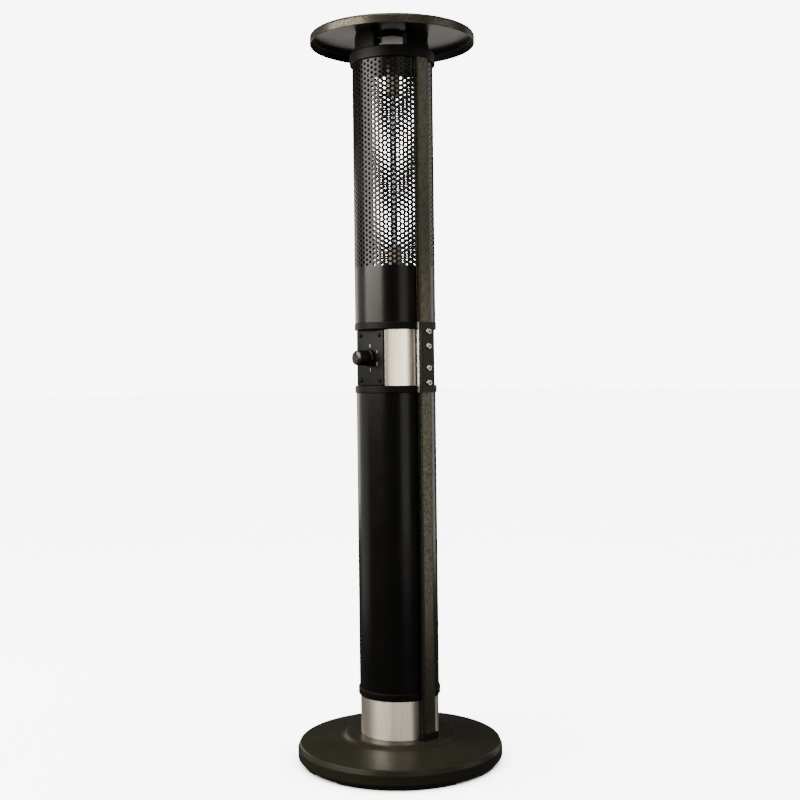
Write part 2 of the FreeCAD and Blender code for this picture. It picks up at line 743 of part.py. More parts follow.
# Perforated guard
def makeGuard():
    # rolled sheet: one flat strip for each column of holes, every second strip half a pitch up
    columns = counts["hole_columns"]
    step = 360.0 / columns
    outer = value("column_radius")
    inner = outer - value("guard_wall")
    low = value(upperWebTop)
    high = value(guardTop)
    pitch = value("hole_pitch")
    radius = value("hole_diameter") / 2
    first = value(upperRingZ + " + ring_height + guard_plain")
    last = value(collarZ) - value("guard_plain_top")
    # every other column stands half a pitch higher
    rows = int((last - first - radius + pitch / 2) / pitch)

    def strip(distance, heights):
        half = distance * math.tan(math.radians(step / 2))
        corners = [Vector(distance, -half, low), Vector(distance, half, low),
                   Vector(distance, half, high), Vector(distance, -half, high)]
        wires = [Part.makePolygon(corners + corners[:1])]
        for height in heights:
            circle = Part.Circle(Vector(distance, 0, height), Vector(1, 0, 0), radius)
            wires.append(Part.Wire([circle.toShape()]))
        return Part.Face(wires, "Part::FaceMakerBullseye")

    def wall(height):
        plug = Part.makeCylinder(radius, outer - inner, Vector(inner, 0, height), Vector(1, 0, 0))
        return [face for face in plug.Faces if isinstance(face.Surface, Part.Cylinder)][0]

    def rim(height):
        wires = []
        for distance in (outer, inner):
            reach = distance / math.cos(math.radians(step / 2))
            corners = [Rotation(Vector(0, 0, 1), (index + 0.5) * step).multVec(Vector(reach, 0, 0))
                       + Vector(0, 0, height) for index in range(columns)]
            wires.append(Part.makePolygon(corners + corners[:1]))
        return Part.Face(wires, "Part::FaceMakerBullseye")

    strips = []
    for shift in (0, pitch / 2):
        heights = [first + shift + row * pitch for row in range(rows)]
        strips.append([strip(outer, heights), strip(inner, heights)] + [wall(z) for z in heights])
    faces = [rim(low), rim(high)]
    for index in range(columns):
        for face in strips[index % 2]:
            copy = face.copy()
            copy.rotate(Vector(0, 0, 0), Vector(0, 0, 1), index * step)
            faces.append(copy)
    sheetMetal = Part.makeCompound(faces)
    sheetMetal.sewShape()
    solid = Part.Solid(sheetMetal if sheetMetal.ShapeType == "Shell" else sheetMetal.Shells[0])
    if solid.Volume < 0:
        solid.reverse()
    guard = doc.addObject("Part::Feature", "guard_tube")
    guard.Shape = solid
    node("guard_tube", guard)


# Heating element
def makeElement():
    tray = turned("element_tray", [
        ("lead_hole_radius", upperWebTop), ("shelf_radius", upperWebTop),
        ("shelf_radius", trayTop), ("lead_hole_radius", trayTop)])
    node("element_tray", tray)
    stand = turned("element_stand", [
        ("stand_radius - stand_wall", trayTop), ("stand_flange_radius", trayTop),
        ("stand_flange_radius", trayTop + " + stand_wall"),
        ("stand_radius", trayTop + " + stand_wall"), ("stand_radius", standTop),
        ("pin_hole_radius", standTop), ("pin_hole_radius", standTop + " - stand_wall"),
        ("stand_radius - stand_wall", standTop + " - stand_wall")],
        [("stand_radius", standTop, "stand_wall")])
    node("element_stand", stand)

    def endCap(label, seat, direction):
        # ceramic body with a blind socket for the quartz tube, which opens away from its seat
        def up(amount):
            return seat + " " + direction + " (" + amount + ")"
        beltTop = "ceramic_foot_height + ceramic_belt_height"
        cap = turned(label, [
            ("0", seat), ("ceramic_radius - ceramic_foot_step", seat),
            ("ceramic_radius", up("ceramic_foot_height")), ("ceramic_radius", up(beltTop)),
            ("ceramic_neck_radius", up(beltTop + " + ceramic_neck_rise")),
            ("ceramic_neck_radius", up("ceramic_height")),
            ("quartz_radius + play", up("ceramic_height")),
            ("quartz_radius + play", up("ceramic_height - ceramic_socket")),
            ("0", up("ceramic_height - ceramic_socket"))])
        node(label, cap)

    endCap("element_cap_lower", standTop, "+")
    endCap("element_cap_upper", ceramicTop, "-")
    quartzLow = standTop + " + ceramic_height - ceramic_socket"
    quartzHigh = ceramicTop + " - ceramic_height + ceramic_socket"
    quartz = turned("quartz_tube", [
        ("quartz_radius - quartz_wall", quartzLow), ("quartz_radius", quartzLow),
        ("quartz_radius", quartzHigh), ("quartz_radius - quartz_wall", quartzHigh)])
    node("quartz_tube", quartz)
    hanger = turned("element_hanger", [
        ("hanger_radius - stand_wall", ceramicTop + " + stand_wall"),
        ("pin_hole_radius", ceramicTop + " + stand_wall"), ("pin_hole_radius", ceramicTop),
        ("hanger_radius", ceramicTop), ("hanger_radius", topPlateZ),
        ("hanger_radius - stand_wall", topPlateZ)],
        [("hanger_radius", ceramicTop, "stand_wall")])
    node("element_hanger", hanger)
    makeFilament(quartzLow, quartzHigh)


def biarc(start, startWay, end, endWay):
    # two tangent arcs between two points with given directions
    chord = end - start
    ways = startWay + endWay
    spread = 2 * (1 - startWay.dot(endWay))
    along = chord.dot(ways)
    reach = (math.sqrt(along * along + spread * chord.dot(chord)) - along) / spread
    first = start + startWay * reach
    second = end - endWay * reach
    middle = (first + second) * 0.5
    edges = []
    for head, corner, tail in ((start, first, middle), (middle, second, end)):
        centre = (head + tail) * 0.5
        bow = corner - centre
        half = (tail - head).Length / 2
        lean = math.atan2(bow.Length, half)
        rise = half * math.tan(lean / 2)
        edges.append(Part.Arc(head, centre + bow * (rise / bow.Length), tail).toShape())
    return edges


def makeFilament(quartzLow, quartzHigh):
    turns = counts["filament_turns"]
    coil = value("filament_radius")
    wire = value("filament_wire") / 2
    tail = value("filament_wire")
    low = value(quartzLow) + tail
    high = value(quartzHigh) - tail
    lead = (high - low) / turns
    slope = lead / (2 * math.pi * coil)
    scale = 1 / math.sqrt(1 + slope * slope)

    def point(turn):
        angle = 2 * math.pi * turn
        return Vector(coil * math.cos(angle), coil * math.sin(angle), low + lead * turn)

    def way(turn):
        angle = 2 * math.pi * turn
        return Vector(-math.sin(angle), math.cos(angle), slope) * scale

    edges = []
    for step in range(turns * 4):
        edges += biarc(point(step / 4), way(step / 4), point((step + 1) / 4), way((step + 1) / 4))
    spine = Part.Wire(edges)
    ring = Part.Wire([Part.Circle(point(0), way(0), wire).toShape()])
    shell = Part.BRepOffsetAPI.MakePipeShell(spine)
    shell.add(ring)
    shell.build()
    shell.makeSolid()
    filament = doc.addObject("Part::Feature", "heating_filament")
    filament.Shape = shell.shape()
    gap = min((point(step / 24) - point(step / 24 + 1)).Length for step in range(24)) - 2 * wire
    print("filament volume %.1f of %.1f, least gap to itself %.2f"
          % (filament.Shape.Volume, math.pi * wire ** 2 * spine.Length, gap))
    node("heating_filament", filament)


# Collar, top plate and hood
def makeTop():
    ring = turned("collar_ring", [
        ("column_radius + slip * 2", collarZ), ("collar_radius", collarZ), ("collar_radius", collarTop),
        ("collar_bore", collarTop), ("collar_bore", guardTop), ("column_radius + slip * 2", guardTop)],
        [("collar_radius", collarTop, "collar_round"), ("collar_radius", collarZ, "collar_edge_round")])
    band = turned("post_band", [
        ("collar_bore", guardTop), ("column_radius", guardTop), ("column_radius", capUnder),
        ("collar_bore", capUnder)])
    half = "post_width / 2"
    lugs = []
    for name, angle in (("post_pair_x", 0), ("post_pair_y", quarter)):
        shape = extruded(name, "YZ_Plane", [
            ("-" + half, guardTop), (half, guardTop), (half, capUnder + " - post_chamfer_height"),
            (half + " - post_chamfer_width", capUnder),
            ("-(" + half + " - post_chamfer_width)", capUnder),
            ("-" + half, capUnder + " - post_chamfer_height")], "collar_radius * 2")
        across = Rotation(Vector(0, 0, 1), angle)
        shape.Placement = Placement(across.multVec(Vector(-value("collar_radius"), 0, 0)), across)
        lugs.append(shape)
    posts = doc.addObject("Part::MultiCommon", "posts")
    posts.Shapes = [band, fused("post_cross", lugs)]
    tapped = drills("post_tap", "small_shank + play", "small_length + play",
                    "cap_screw_circle", capTop + " - small_length - play", postAngles)
    plateTap = drills("collar_tap", "small_shank + play", "small_length",
                      "cap_screw_circle", guardTop, squareAngles)
    collar = cut("top_collar", fused("collar_solid", [ring, posts]), tapped + plateTap)
    node("top_collar", collar)

    disc = turned("top_disc", [
        ("pin_hole_radius", topPlateZ), ("shelf_radius", topPlateZ),
        ("shelf_radius", guardTop), ("pin_hole_radius", guardTop)])
    holes = drills("top_plate_hole", "small_shank + play", "plate_thickness * 3",
                   "cap_screw_circle", topPlateZ + " - plate_thickness", squareAngles)
    node("top_plate", cut("top_plate", disc, holes))
    upward = Rotation(Vector(1, 0, 0), 180)
    short = screw("short_screw", "small", "plate_screw_head", "collar_height - collar_socket")
    group("top_plate_screws", short,
          [Placement(onCircle("cap_screw_circle", topPlateZ, angle).Base, upward)
           for angle in squareAngles])

    rim = capTop + " - cap_drop"
    pan = turned("cap_pan", [
        ("0", capTop), ("cap_radius", capTop), ("cap_radius", rim), ("cap_radius - cap_wall", rim),
        ("cap_radius - cap_wall", capUnder), ("0", capUnder)],
        [("cap_radius", capTop, "cap_round"), ("cap_radius - cap_wall", capUnder, "cap_round - cap_wall")])
    sinkDepth = "small_head - small_shank"
    cones = []
    for number, angle in enumerate(postAngles):
        sink = doc.addObject("Part::Cone", "cap_sink_%d" % number)
        sink.setExpression("Radius1", bound("small_shank + play"))
        sink.setExpression("Radius2", bound("small_head + play"))
        sink.setExpression("Height", bound(sinkDepth))
        where = onCircle("cap_screw_circle", capTop + " - (" + sinkDepth + ")", angle)
        sink.Placement = where
        cones.append(sink)
    shanks = drills("cap_hole", "small_shank + play", "cap_wall * 3", "cap_screw_circle",
                    capUnder + " - cap_wall", postAngles)
    node("cap", cut("cap", pan, cones + shanks))
    sunk = turned("sunk_screw", [
        ("0", "-small_length"), ("small_shank", "-small_length"), ("small_shank", "-(" + sinkDepth + ")"),
        ("small_head", "0"), ("0", "0")])
    group("cap_screws", sunk, [onCircle("cap_screw_circle", capTop, angle) for angle in postAngles])
    boss = turned("cap_boss", [
        ("0", capUnder + " - boss_drop"), ("boss_radius", capUnder + " - boss_drop"),
        ("boss_radius", capUnder + " - boss_drop + boss_height"),
        ("boss_stem_radius", capUnder + " - boss_drop + boss_height"),
        ("boss_stem_radius", capUnder), ("0", capUnder)],
        [("boss_radius", capUnder + " - boss_drop", "boss_round")])
    node("cap_boss", boss)


# Struts
def channel(name, inner, outer, width, wall, bottom, top, fillet):
    # channel whose open side faces the column and whose outer corners are rounded
    half = width + " / 2"
    shape = extruded(name, "XY_Plane", [
        (inner, "-" + half), (outer, "-" + half), (outer, half), (inner, half),
        (inner, half + " - " + wall), (outer + " - " + wall, half + " - " + wall),
        (outer + " - " + wall, "-(" + half + " - " + wall + ")"),
        (inner, "-(" + half + " - " + wall + ")")],
        top + " - (" + bottom + ")",
        (fillet, lambda spot: abs(spot.x - value(outer)) < 0.01))
    return place(shape, z=bottom)


def mirrored(label, source):
    item = doc.addObject("Part::Mirroring", label)
    item.Source = source
    item.Normal = Vector(1, 0, 0)
    return node(label, item)


def makeStruts():
    spliceLow = panelZ + " - splice_length / 2"
    spliceHigh = panelZ + " + splice_length / 2"
    shoeTop = baseTop + " + shoe_floor"
    tongueWidth = "(strut_width - splice_wall * 2 - play * 2)"
    tongueLength = "(splice_length / 2 - play * 2)"

    def strut(label, bottom, top, tongueBottom):
        body = channel(label + "_channel", "strut_inner", "strut_outer", "strut_width", "strut_wall",
                       bottom, top, "strut_round")
        tongue = box(label + "_tongue", "strut_wall", tongueWidth, tongueLength)
        place(tongue, "strut_outer - strut_wall", "-" + tongueWidth + " / 2", tongueBottom)
        joined = fused(label + "_joined", [body, tongue])
        right = node(label + "_right", cut(label + "_right", joined, spliceHoles(label)))
        mirrored(label + "_left", right)

    strut("upper_strut", spliceHigh, collarZ, spliceHigh + " - " + tongueLength)
    strut("lower_strut", shoeTop, spliceLow, spliceLow)

    railOuter = "(strut_outer - strut_wall)"
    rail = channel("splice_rail_channel", "strut_inner", railOuter, "strut_width", "splice_wall",
                   spliceLow, spliceHigh, "rail_round")
    right = node("splice_rail_right", cut("splice_rail_right", rail, spliceHoles("rail")))
    mirrored("splice_rail_left", right)
    cover = channel("splice_cover_channel", railOuter, "splice_outer", "strut_width", "splice_wall",
                    spliceLow, spliceHigh, "splice_round")
    right = node("splice_cover_right", cut("splice_cover_right", cover, spliceHoles("cover")))
    mirrored("splice_cover_left", right)

    # shoe that the foot of each lower strut stands in
    solid = box("shoe_solid", "strut_depth + (shoe_wall + play) * 2",
                "strut_width + (shoe_wall + play) * 2", "shoe_height")
    place(solid, "strut_inner - shoe_wall - play", "-(strut_width / 2 + shoe_wall + play)", baseTop)
    pocket = box("shoe_pocket", "strut_depth + play * 2", "strut_width + play * 2", "shoe_height")
    place(pocket, "strut_inner - play", "-(strut_width / 2 + play)", shoeTop)
    right = node("strut_shoe_right", cut("strut_shoe_right", solid, [pocket]))
    mirrored("strut_shoe_left", right)

    button = screw("splice_screw", "bolt", "bolt_head", "splice_screw_length")
    nut = hexNut("splice_nut_prism", "splice_nut_flats", "splice_nut_height")
    nutBore = cylinder("splice_nut_bore", "bolt_shank + play", "splice_nut_height")
    nutBody = cut("splice_nut", nut, [nutBore])
    screwPlaces = []
    nutPlaces = []
    for side in (1, -1):
        outward = Rotation(Vector(0, 1, 0), quarter * side)
        for height in spliceHeights():
            z = value(height)
            screwPlaces.append(Placement(Vector(side * value("splice_outer"), 0, z), outward))
            reach = value("splice_nut_seat - splice_nut_height")
            nutPlaces.append(Placement(Vector(side * reach, 0, z), outward))
    group("splice_screws", button, screwPlaces)
    group("splice_nuts", nutBody, nutPlaces)


smallScrew = makeBase()
makeNeck()
makeRings()
makeHousing()
makeControls(smallScrew)
makeElectrics()
makeGuard()
makeElement()
makeTop()
makeStruts()
doc.recompute()

for item in doc.Objects:
    if "Invalid" in item.State or "Error" in item.State:
        raise RuntimeError("%s is in state %s" % (item.Label, item.State))
for item in nodes:
    if item.Shape.isNull() or not item.Shape.isValid() or not item.Shape.Solids:
        raise RuntimeError("%s has no valid solid" % item.Label)

os.makedirs("parts", exist_ok=True)
for item in nodes:
    item.Shape.exportStep("parts/%s.step" % item.Label)
print("%d sub-parts, height %.1f" % (len(nodes), value(capTop)))
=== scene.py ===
import math

import bmesh
import bpy
from mathutils import Matrix, Vector


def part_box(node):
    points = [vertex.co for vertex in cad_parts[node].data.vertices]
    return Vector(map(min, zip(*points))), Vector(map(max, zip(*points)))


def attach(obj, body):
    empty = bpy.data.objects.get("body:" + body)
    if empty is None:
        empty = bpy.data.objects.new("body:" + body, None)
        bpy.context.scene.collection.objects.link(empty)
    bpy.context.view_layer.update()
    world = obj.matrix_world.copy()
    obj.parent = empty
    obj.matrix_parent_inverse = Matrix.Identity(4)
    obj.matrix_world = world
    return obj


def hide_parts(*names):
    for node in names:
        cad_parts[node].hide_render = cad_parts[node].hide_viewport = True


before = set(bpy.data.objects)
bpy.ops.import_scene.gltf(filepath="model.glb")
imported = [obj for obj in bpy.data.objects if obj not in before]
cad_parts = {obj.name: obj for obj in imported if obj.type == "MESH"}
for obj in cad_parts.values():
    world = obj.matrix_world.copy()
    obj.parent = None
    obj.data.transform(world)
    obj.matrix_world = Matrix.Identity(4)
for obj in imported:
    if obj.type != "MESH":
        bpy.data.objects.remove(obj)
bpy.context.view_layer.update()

mm = 0.001
# a face looks along an axis when its normal reaches at least this far along it
squareOn = 0.9
upright = Matrix.Identity(4)
# turns a piece made along +Z so that it points out of the control panel, along -Y
towardsFront = Matrix.Rotation(math.radians(90), 4, "X")


def span(node):
    # lowest and highest corner of a CAD node, in metres
    low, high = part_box(node)
    return Vector(low), Vector(high)


def metres(settings):
    return {key: number * mm for key, number in settings.items()}


# Colours and shader helpers

def linear(hexColour):
    channels = []
    for start in (1, 3, 5):
        level = int(hexColour[start:start + 2], 16) / 255
        channels.append(level / 12.92 if level <= 0.04045 else ((level + 0.055) / 1.055) ** 2.4)
    return (*channels, 1.0)


def addNode(tree, kind, inputs=None, **settings):
    item = tree.nodes.new(kind)
    for name, setting in settings.items():
        setattr(item, name, setting)
    for key, given in (inputs or {}).items():
        if isinstance(given, bpy.types.NodeSocket):
            tree.links.new(given, item.inputs[key])
        else:
            item.inputs[key].default_value = given
    return item


def newMaterial(name, **sockets):
    material = bpy.data.materials.new(name)
    material.use_nodes = True
    tree = material.node_tree
    shader = tree.nodes["Principled BSDF"]
    for key, given in sockets.items():
        shader.inputs[key.replace("_", " ")].default_value = given
    place = addNode(tree, "ShaderNodeTexCoord").outputs["Object"]
    return material, tree, shader, place


def perMetre(sizeInMm):
    # texture scale that gives one feature every so many millimetres
    return 1 / (sizeInMm * mm)


def noise(tree, place, sizeInMm, detail=2.0):
    return addNode(tree, "ShaderNodeTexNoise", {"Vector": place, "Scale": perMetre(sizeInMm),
                                                "Detail": detail})


def paint(tree, shader, factor, dark, light, low=0.3, high=0.7):
    ramp = addNode(tree, "ShaderNodeValToRGB", {"Fac": factor})
    ends = ramp.color_ramp.elements
    ends[0].position, ends[0].color = low, linear(dark)
    ends[1].position, ends[1].color = high, linear(light)
    tree.links.new(ramp.outputs["Color"], shader.inputs["Base Color"])


def polish(tree, shader, factor, smooth, rough, low=0.3, high=0.7):
    gloss = addNode(tree, "ShaderNodeMapRange", {"Value": factor, "From Min": low, "From Max": high,
                                                 "To Min": smooth, "To Max": rough})
    tree.links.new(gloss.outputs[0], shader.inputs["Roughness"])


def emboss(tree, shader, height, strength, depthInMm, invert=False):
    bump = addNode(tree, "ShaderNodeBump", {"Height": height, "Strength": strength,
                                            "Distance": depthInMm * mm}, invert=invert)
    tree.links.new(bump.outputs[0], shader.inputs["Normal"])


# Materials

def hammeredEnamel():
    # hammer enamel: silicone in the paint draws it into small shallow pools with darker veins between
    material, tree, shader, place = newMaterial("hammeredEnamel", Metallic=0.6, Specular_IOR_Level=0.4)
    stir = noise(tree, place, 3.0)
    push = addNode(tree, "ShaderNodeVectorMath", {0: stir.outputs["Color"], 1: (1.2 * mm,) * 3},
                   operation="MULTIPLY")
    moved = addNode(tree, "ShaderNodeVectorMath", {0: place, 1: push.outputs[0]}, operation="ADD")
    pools = addNode(tree, "ShaderNodeTexVoronoi", {"Vector": moved.outputs[0], "Scale": perMetre(3.2),
                                                   "Smoothness": 0.7}, feature="SMOOTH_F1")
    depth = pools.outputs["Distance"]
    paint(tree, shader, depth, "#5a574a", "#3b3930", 0.15, 0.65)
    polish(tree, shader, depth, 0.22, 0.36, 0.1, 0.7)
    emboss(tree, shader, depth, 0.4, 0.3, invert=True)
    return material


def powderCoat(name, dark, light, rough, shine):
    # satin powder coat: a fine orange peel breaks up its soft highlight
    material, tree, shader, place = newMaterial(name, Specular_IOR_Level=shine)
    cloud = noise(tree, place, 60, 4.0)
    paint(tree, shader, cloud.outputs["Fac"], dark, light)
    polish(tree, shader, cloud.outputs["Fac"], rough - 0.04, rough + 0.04)
    emboss(tree, shader, noise(tree, place, 1.4).outputs["Fac"], 0.1, 0.2)
    return material


def brushedStainless():
    # stainless sheet brushed along the tube, so fine lines run up it and highlights spread sideways
    material, tree, shader, place = newMaterial("brushedStainless", Metallic=1.0, Anisotropic=0.75,
                                                Anisotropic_Rotation=0.25)
    # lines are drawn about 0.8 mm apart, coarser than real ones, so that they show at the picture's scale
    drawn = addNode(tree, "ShaderNodeMapping", {"Vector": place, "Scale": (1.0, 1.0, 0.01)})
    lines = noise(tree, drawn.outputs[0], 0.8, 4.0)
    smear = noise(tree, drawn.outputs[0], 12, 2.0)
    paint(tree, shader, smear.outputs["Fac"], "#d6cfc0", "#ece6d9")
    polish(tree, shader, lines.outputs["Fac"], 0.3, 0.4)
    lay = addNode(tree, "ShaderNodeTangent", direction_type="RADIAL", axis="Z")
    tree.links.new(lay.outputs[0], shader.inputs["Tangent"])
    emboss(tree, shader, lines.outputs["Fac"], 0.07, 0.1)
    return material


def plainMetal(name, dark, light, grainInMm, rough, metallic=1.0):
    # plated or rolled metal: cloudy patches shift its colour and gloss a little
    material, tree, shader, place = newMaterial(name, Metallic=metallic)
    cloud = noise(tree, place, grainInMm, 5.0)
    paint(tree, shader, cloud.outputs["Fac"], dark, light)
    polish(tree, shader, cloud.outputs["Fac"], rough - 0.05, rough + 0.07)
    emboss(tree, shader, cloud.outputs["Fac"], 0.06, 0.2)
    return material


def moulded(name, dark, light, grainInMm, rough, relief, **sockets):
    # moulded or fired material: an even grain from the tool, with faint flow marks
    material, tree, shader, place = newMaterial(name, **sockets)
    grain = noise(tree, place, grainInMm, 3.0)
    paint(tree, shader, noise(tree, place, 25, 3.0).outputs["Fac"], dark, light)
    polish(tree, shader, grain.outputs["Fac"], rough - 0.05, rough + 0.05)
    emboss(tree, shader, grain.outputs["Fac"], relief, 0.15)
    return material


def fusedQuartz():
    # drawn quartz tube: clear, with faint draw lines along its length
    material, tree, shader, place = newMaterial("fusedQuartz", IOR=1.458, Transmission_Weight=1.0)
    drawn = addNode(tree, "ShaderNodeMapping", {"Vector": place, "Scale": (1.0, 1.0, 0.02)})
    lines = noise(tree, drawn.outputs[0], 1.5)
    paint(tree, shader, lines.outputs["Fac"], "#eef1f2", "#f8fafa")
    polish(tree, shader, lines.outputs["Fac"], 0.02, 0.08)
    return material


finishes = {
    "hammer": hammeredEnamel(),
    "bronze": powderCoat("bronzeBlackEnamel", "#25241d", "#2b2a21", 0.33, 0.14),
    "satinBlack": powderCoat("satinBlackPowderCoat", "#090908", "#0c0b0a", 0.25, 0.3),
    "dullBlack": powderCoat("dullBlackEnamel", "#070707", "#0a0a09", 0.48, 0.15),
    "steel": brushedStainless(),
    "zinc": plainMetal("brightZincPlate", "#c4c3be", "#e6e5df", 6.0, 0.26),
    "sheet": plainMetal("rolledSheetSteel", "#807d75", "#a8a499", 12.0, 0.42),
    "lining": powderCoat("semiGlossHoodLining", "#1b1a17", "#211f1b", 0.24, 0.5),
    "castIron": moulded("castIron", "#2a2928", "#383634", 1.2, 0.75, 0.5),
    "rubber": moulded("footRubber", "#121212", "#1c1b1a", 0.8, 0.82, 0.4),
    "panelPlastic": moulded("grainedPanelPlastic", "#0d0d0d", "#121211", 0.7, 0.45, 0.25,
                            Specular_IOR_Level=0.17),
    # the knob's end face is painted lighter and its grip darker than the plastic itself, as painted light and
    # painted shade
    "knobPlastic": moulded("glossKnobPlastic", "#1a1a17", "#1f1f1c", 3.0, 0.22, 0.03),
    "mattPlastic": moulded("mattKnobPlastic", "#060606", "#080808", 0.8, 0.6, 0.2, Specular_IOR_Level=0.2),
    "palePlastic": moulded("paleTerminalPlastic", "#cfc9ba", "#dcd7ca", 0.8, 0.5, 0.15),
    "ceramic": moulded("steatiteCeramic", "#cfc5b0", "#e2dac8", 0.6, 0.68, 0.3),
    "wire": plainMetal("oxidisedHeatingWire", "#4a4036", "#665848", 2.0, 0.5, 0.85),
    "quartz": fusedQuartz(),
    "dialPrint": moulded("whiteDialPrint", "#d2d1cb", "#e2e1dc", 0.5, 0.6, 0.05),
}
print("materials", len(finishes))


# Object and mesh helpers

def addObject(name, data):
    item = bpy.data.objects.new(name, data)
    bpy.context.scene.collection.objects.link(item)
    return item


def bakedMesh(item):
    # final mesh of an object that is taken away again
    graph = bpy.context.evaluated_depsgraph_get()
    mesh = bpy.data.meshes.new_from_object(item.evaluated_get(graph))
    bpy.data.objects.remove(item)
    return mesh


def filleted(corners, steps=6, share=0.8):
    # outline of (x, y, radius) corners, each radius an arc that takes at most a share of the sides beside it
    points = []
    count = len(corners)
    for index, (x, y, radius) in enumerate(corners):
        here = Vector((x, y))
        if radius == 0:
            points.append(here)
            continue
        before = Vector(corners[index - 1][:2]) - here
        after = Vector(corners[(index + 1) % count][:2]) - here
        half = before.angle(after) / 2
        reach = min(radius / math.tan(half), before.length * share, after.length * share)
        bend = reach * math.tan(half)
        middle = here + (before.normalized() + after.normalized()).normalized() * (bend / math.sin(half))
        start = here + before.normalized() * reach - middle
        end = here + after.normalized() * reach - middle
        for step in range(steps + 1):
            points.append(middle + start.slerp(end, step / steps).normalized() * bend)
    return points


def rectangle(left, right, low, high, soft=0.0):
    return [(left, low, soft), (right, low, soft), (right, high, soft), (left, high, soft)]


def held(points, margin=0.25 * mm, flat=2 * mm):
    # narrow strips beside the rounded edges keep the long flats between them shaded flat
    kept = []
    for index, here in enumerate(points):
        kept.append(here)
        way = points[(index + 1) % len(points)] - here
        if way.length > flat:
            reach = way.normalized() * margin
            kept += [here + reach, here + way - reach]
    return kept


def meshFrom(name, builder, finish, turn=upright):
    # closed mesh from a bmesh: doubles merged, normals turned outwards
    bmesh.ops.remove_doubles(builder, verts=builder.verts, dist=1e-6)
    bmesh.ops.recalc_face_normals(builder, faces=builder.faces)
    builder.transform(turn)
    mesh = bpy.data.meshes.new(name)
    builder.to_mesh(mesh)
    builder.free()
    mesh.materials.append(finishes[finish])
    return mesh


def newPiece(name, mesh, slot, stands=(), body="heater", sharp=32):
    for polygon in mesh.polygons:
        polygon.use_smooth = True
    mesh.set_sharp_from_angle(angle=math.radians(sharp))
    piece = addObject(name, mesh)
    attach(piece, body)
    if stands:
        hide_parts(*stands)
    return piece


def recolour(piece, finish, chosen):
    # another finish for the faces that a test picks
    data = piece.data
    data.materials.append(finishes[finish])
    for polygon in data.polygons:
        if chosen(polygon):
            polygon.material_index = len(data.materials) - 1


def skin(builder, rings):
    # quads between closed rings of points that follow one another
    for here, there in zip(rings, rings[1:]):
        for index in range(len(here)):
            after = (index + 1) % len(here)
            builder.faces.new([here[index], here[after], there[after], there[index]])


def lathe(builder, outline, turns):
    # revolve a closed outline of (radius, height) points about Z
    rings = []
    for index in range(turns):
        angle = 2 * math.pi * index / turns
        rings.append([builder.verts.new((point.x * math.cos(angle), point.x * math.sin(angle), point.y))
                      for point in outline])
    count = len(outline)
    for index in range(turns):
        here, there = rings[index], rings[(index + 1) % turns]
        for spot in range(count):
            after = (spot + 1) % count
            onAxis = outline[spot].x < 1e-7
            nextOnAxis = outline[after].x < 1e-7
            if onAxis and nextOnAxis:
                continue
            corners = [here[spot], there[spot], there[after], here[after]]
            if onAxis:
                corners = [here[spot], there[after], here[after]]
            elif nextOnAxis:
                corners = [here[spot], there[spot], here[after]]
            builder.faces.new(corners)


def turnedPiece(name, corners, finish, slot, turns=144, steps=6, turn=upright, **settings):
    builder = bmesh.new()
    lathe(builder, held(filleted(corners, steps)), turns)
    return newPiece(name, meshFrom(name, builder, finish, turn), slot, **settings)


def prism(builder, outline, low, high):
    # upright prism of a flat outline
    bottom = [builder.verts.new((point.x, point.y, low)) for point in outline]
    top = [builder.verts.new((point.x, point.y, high)) for point in outline]
    builder.faces.new(list(reversed(bottom)))
    builder.faces.new(top)
    skin(builder, [bottom, top])


def mirrorX(builder):
    # adds the same piece on the other side of the column
    other = bmesh.ops.duplicate(builder, geom=builder.verts[:] + builder.edges[:] + builder.faces[:])
    for item in other["geom"]:
        if isinstance(item, bmesh.types.BMVert):
            item.co.x = -item.co.x


# Geometry Nodes helpers

def newTree(name, inputs):
    tree = bpy.data.node_groups.new(name, "GeometryNodeTree")
    tree.interface.new_socket(name="Geometry", in_out="OUTPUT", socket_type="NodeSocketGeometry")
    identifiers = {}
    for label, kind in inputs:
        socket = tree.interface.new_socket(name=label, in_out="INPUT", socket_type="NodeSocket" + kind)
        identifiers[label] = socket.identifier
    return tree, tree.nodes.new("NodeGroupInput").outputs, identifiers


def closeTree(tree, geometry):
    # every tree ends in plain geometry
    real = addNode(tree, "GeometryNodeRealizeInstances", {"Geometry": geometry})
    addNode(tree, "NodeGroupOutput", {0: real.outputs[0]})


def nodesMesh(name, tree, identifiers, settings):
    # runs a tree on an empty mesh and keeps the result as a plain mesh without materials
    carrier = addObject(name + "Carrier", bpy.data.meshes.new(name + "Carrier"))
    modifier = carrier.modifiers.new(name, "NODES")
    modifier.node_group = tree
    for label, given in settings.items():
        modifier[identifiers[label]] = given
    mesh = bakedMesh(carrier)
    mesh.name = name
    mesh.materials.clear()
    return mesh


def helperObject(name, builder):
    # shape that a tree copies; it is taken away again once the tree has run
    mesh = bpy.data.meshes.new(name)
    builder.to_mesh(mesh)
    builder.free()
    return addObject(name, mesh)


# Base

baseShape = {"rimTurnIn": 6.0, "rimHeight": 14.5, "rimRound": 3.5, "shoulderInset": 3.5, "shoulderRise": 8.0,
             "shoulderRound": 3.0, "coneRise": 8.1, "coneStep": 8.0, "coneRound": 20.0, "hubRise": 5.5,
             "hubMargin": 11.65, "hubRound": 14.0, "wall": 1.5, "wireHole": 18.0}


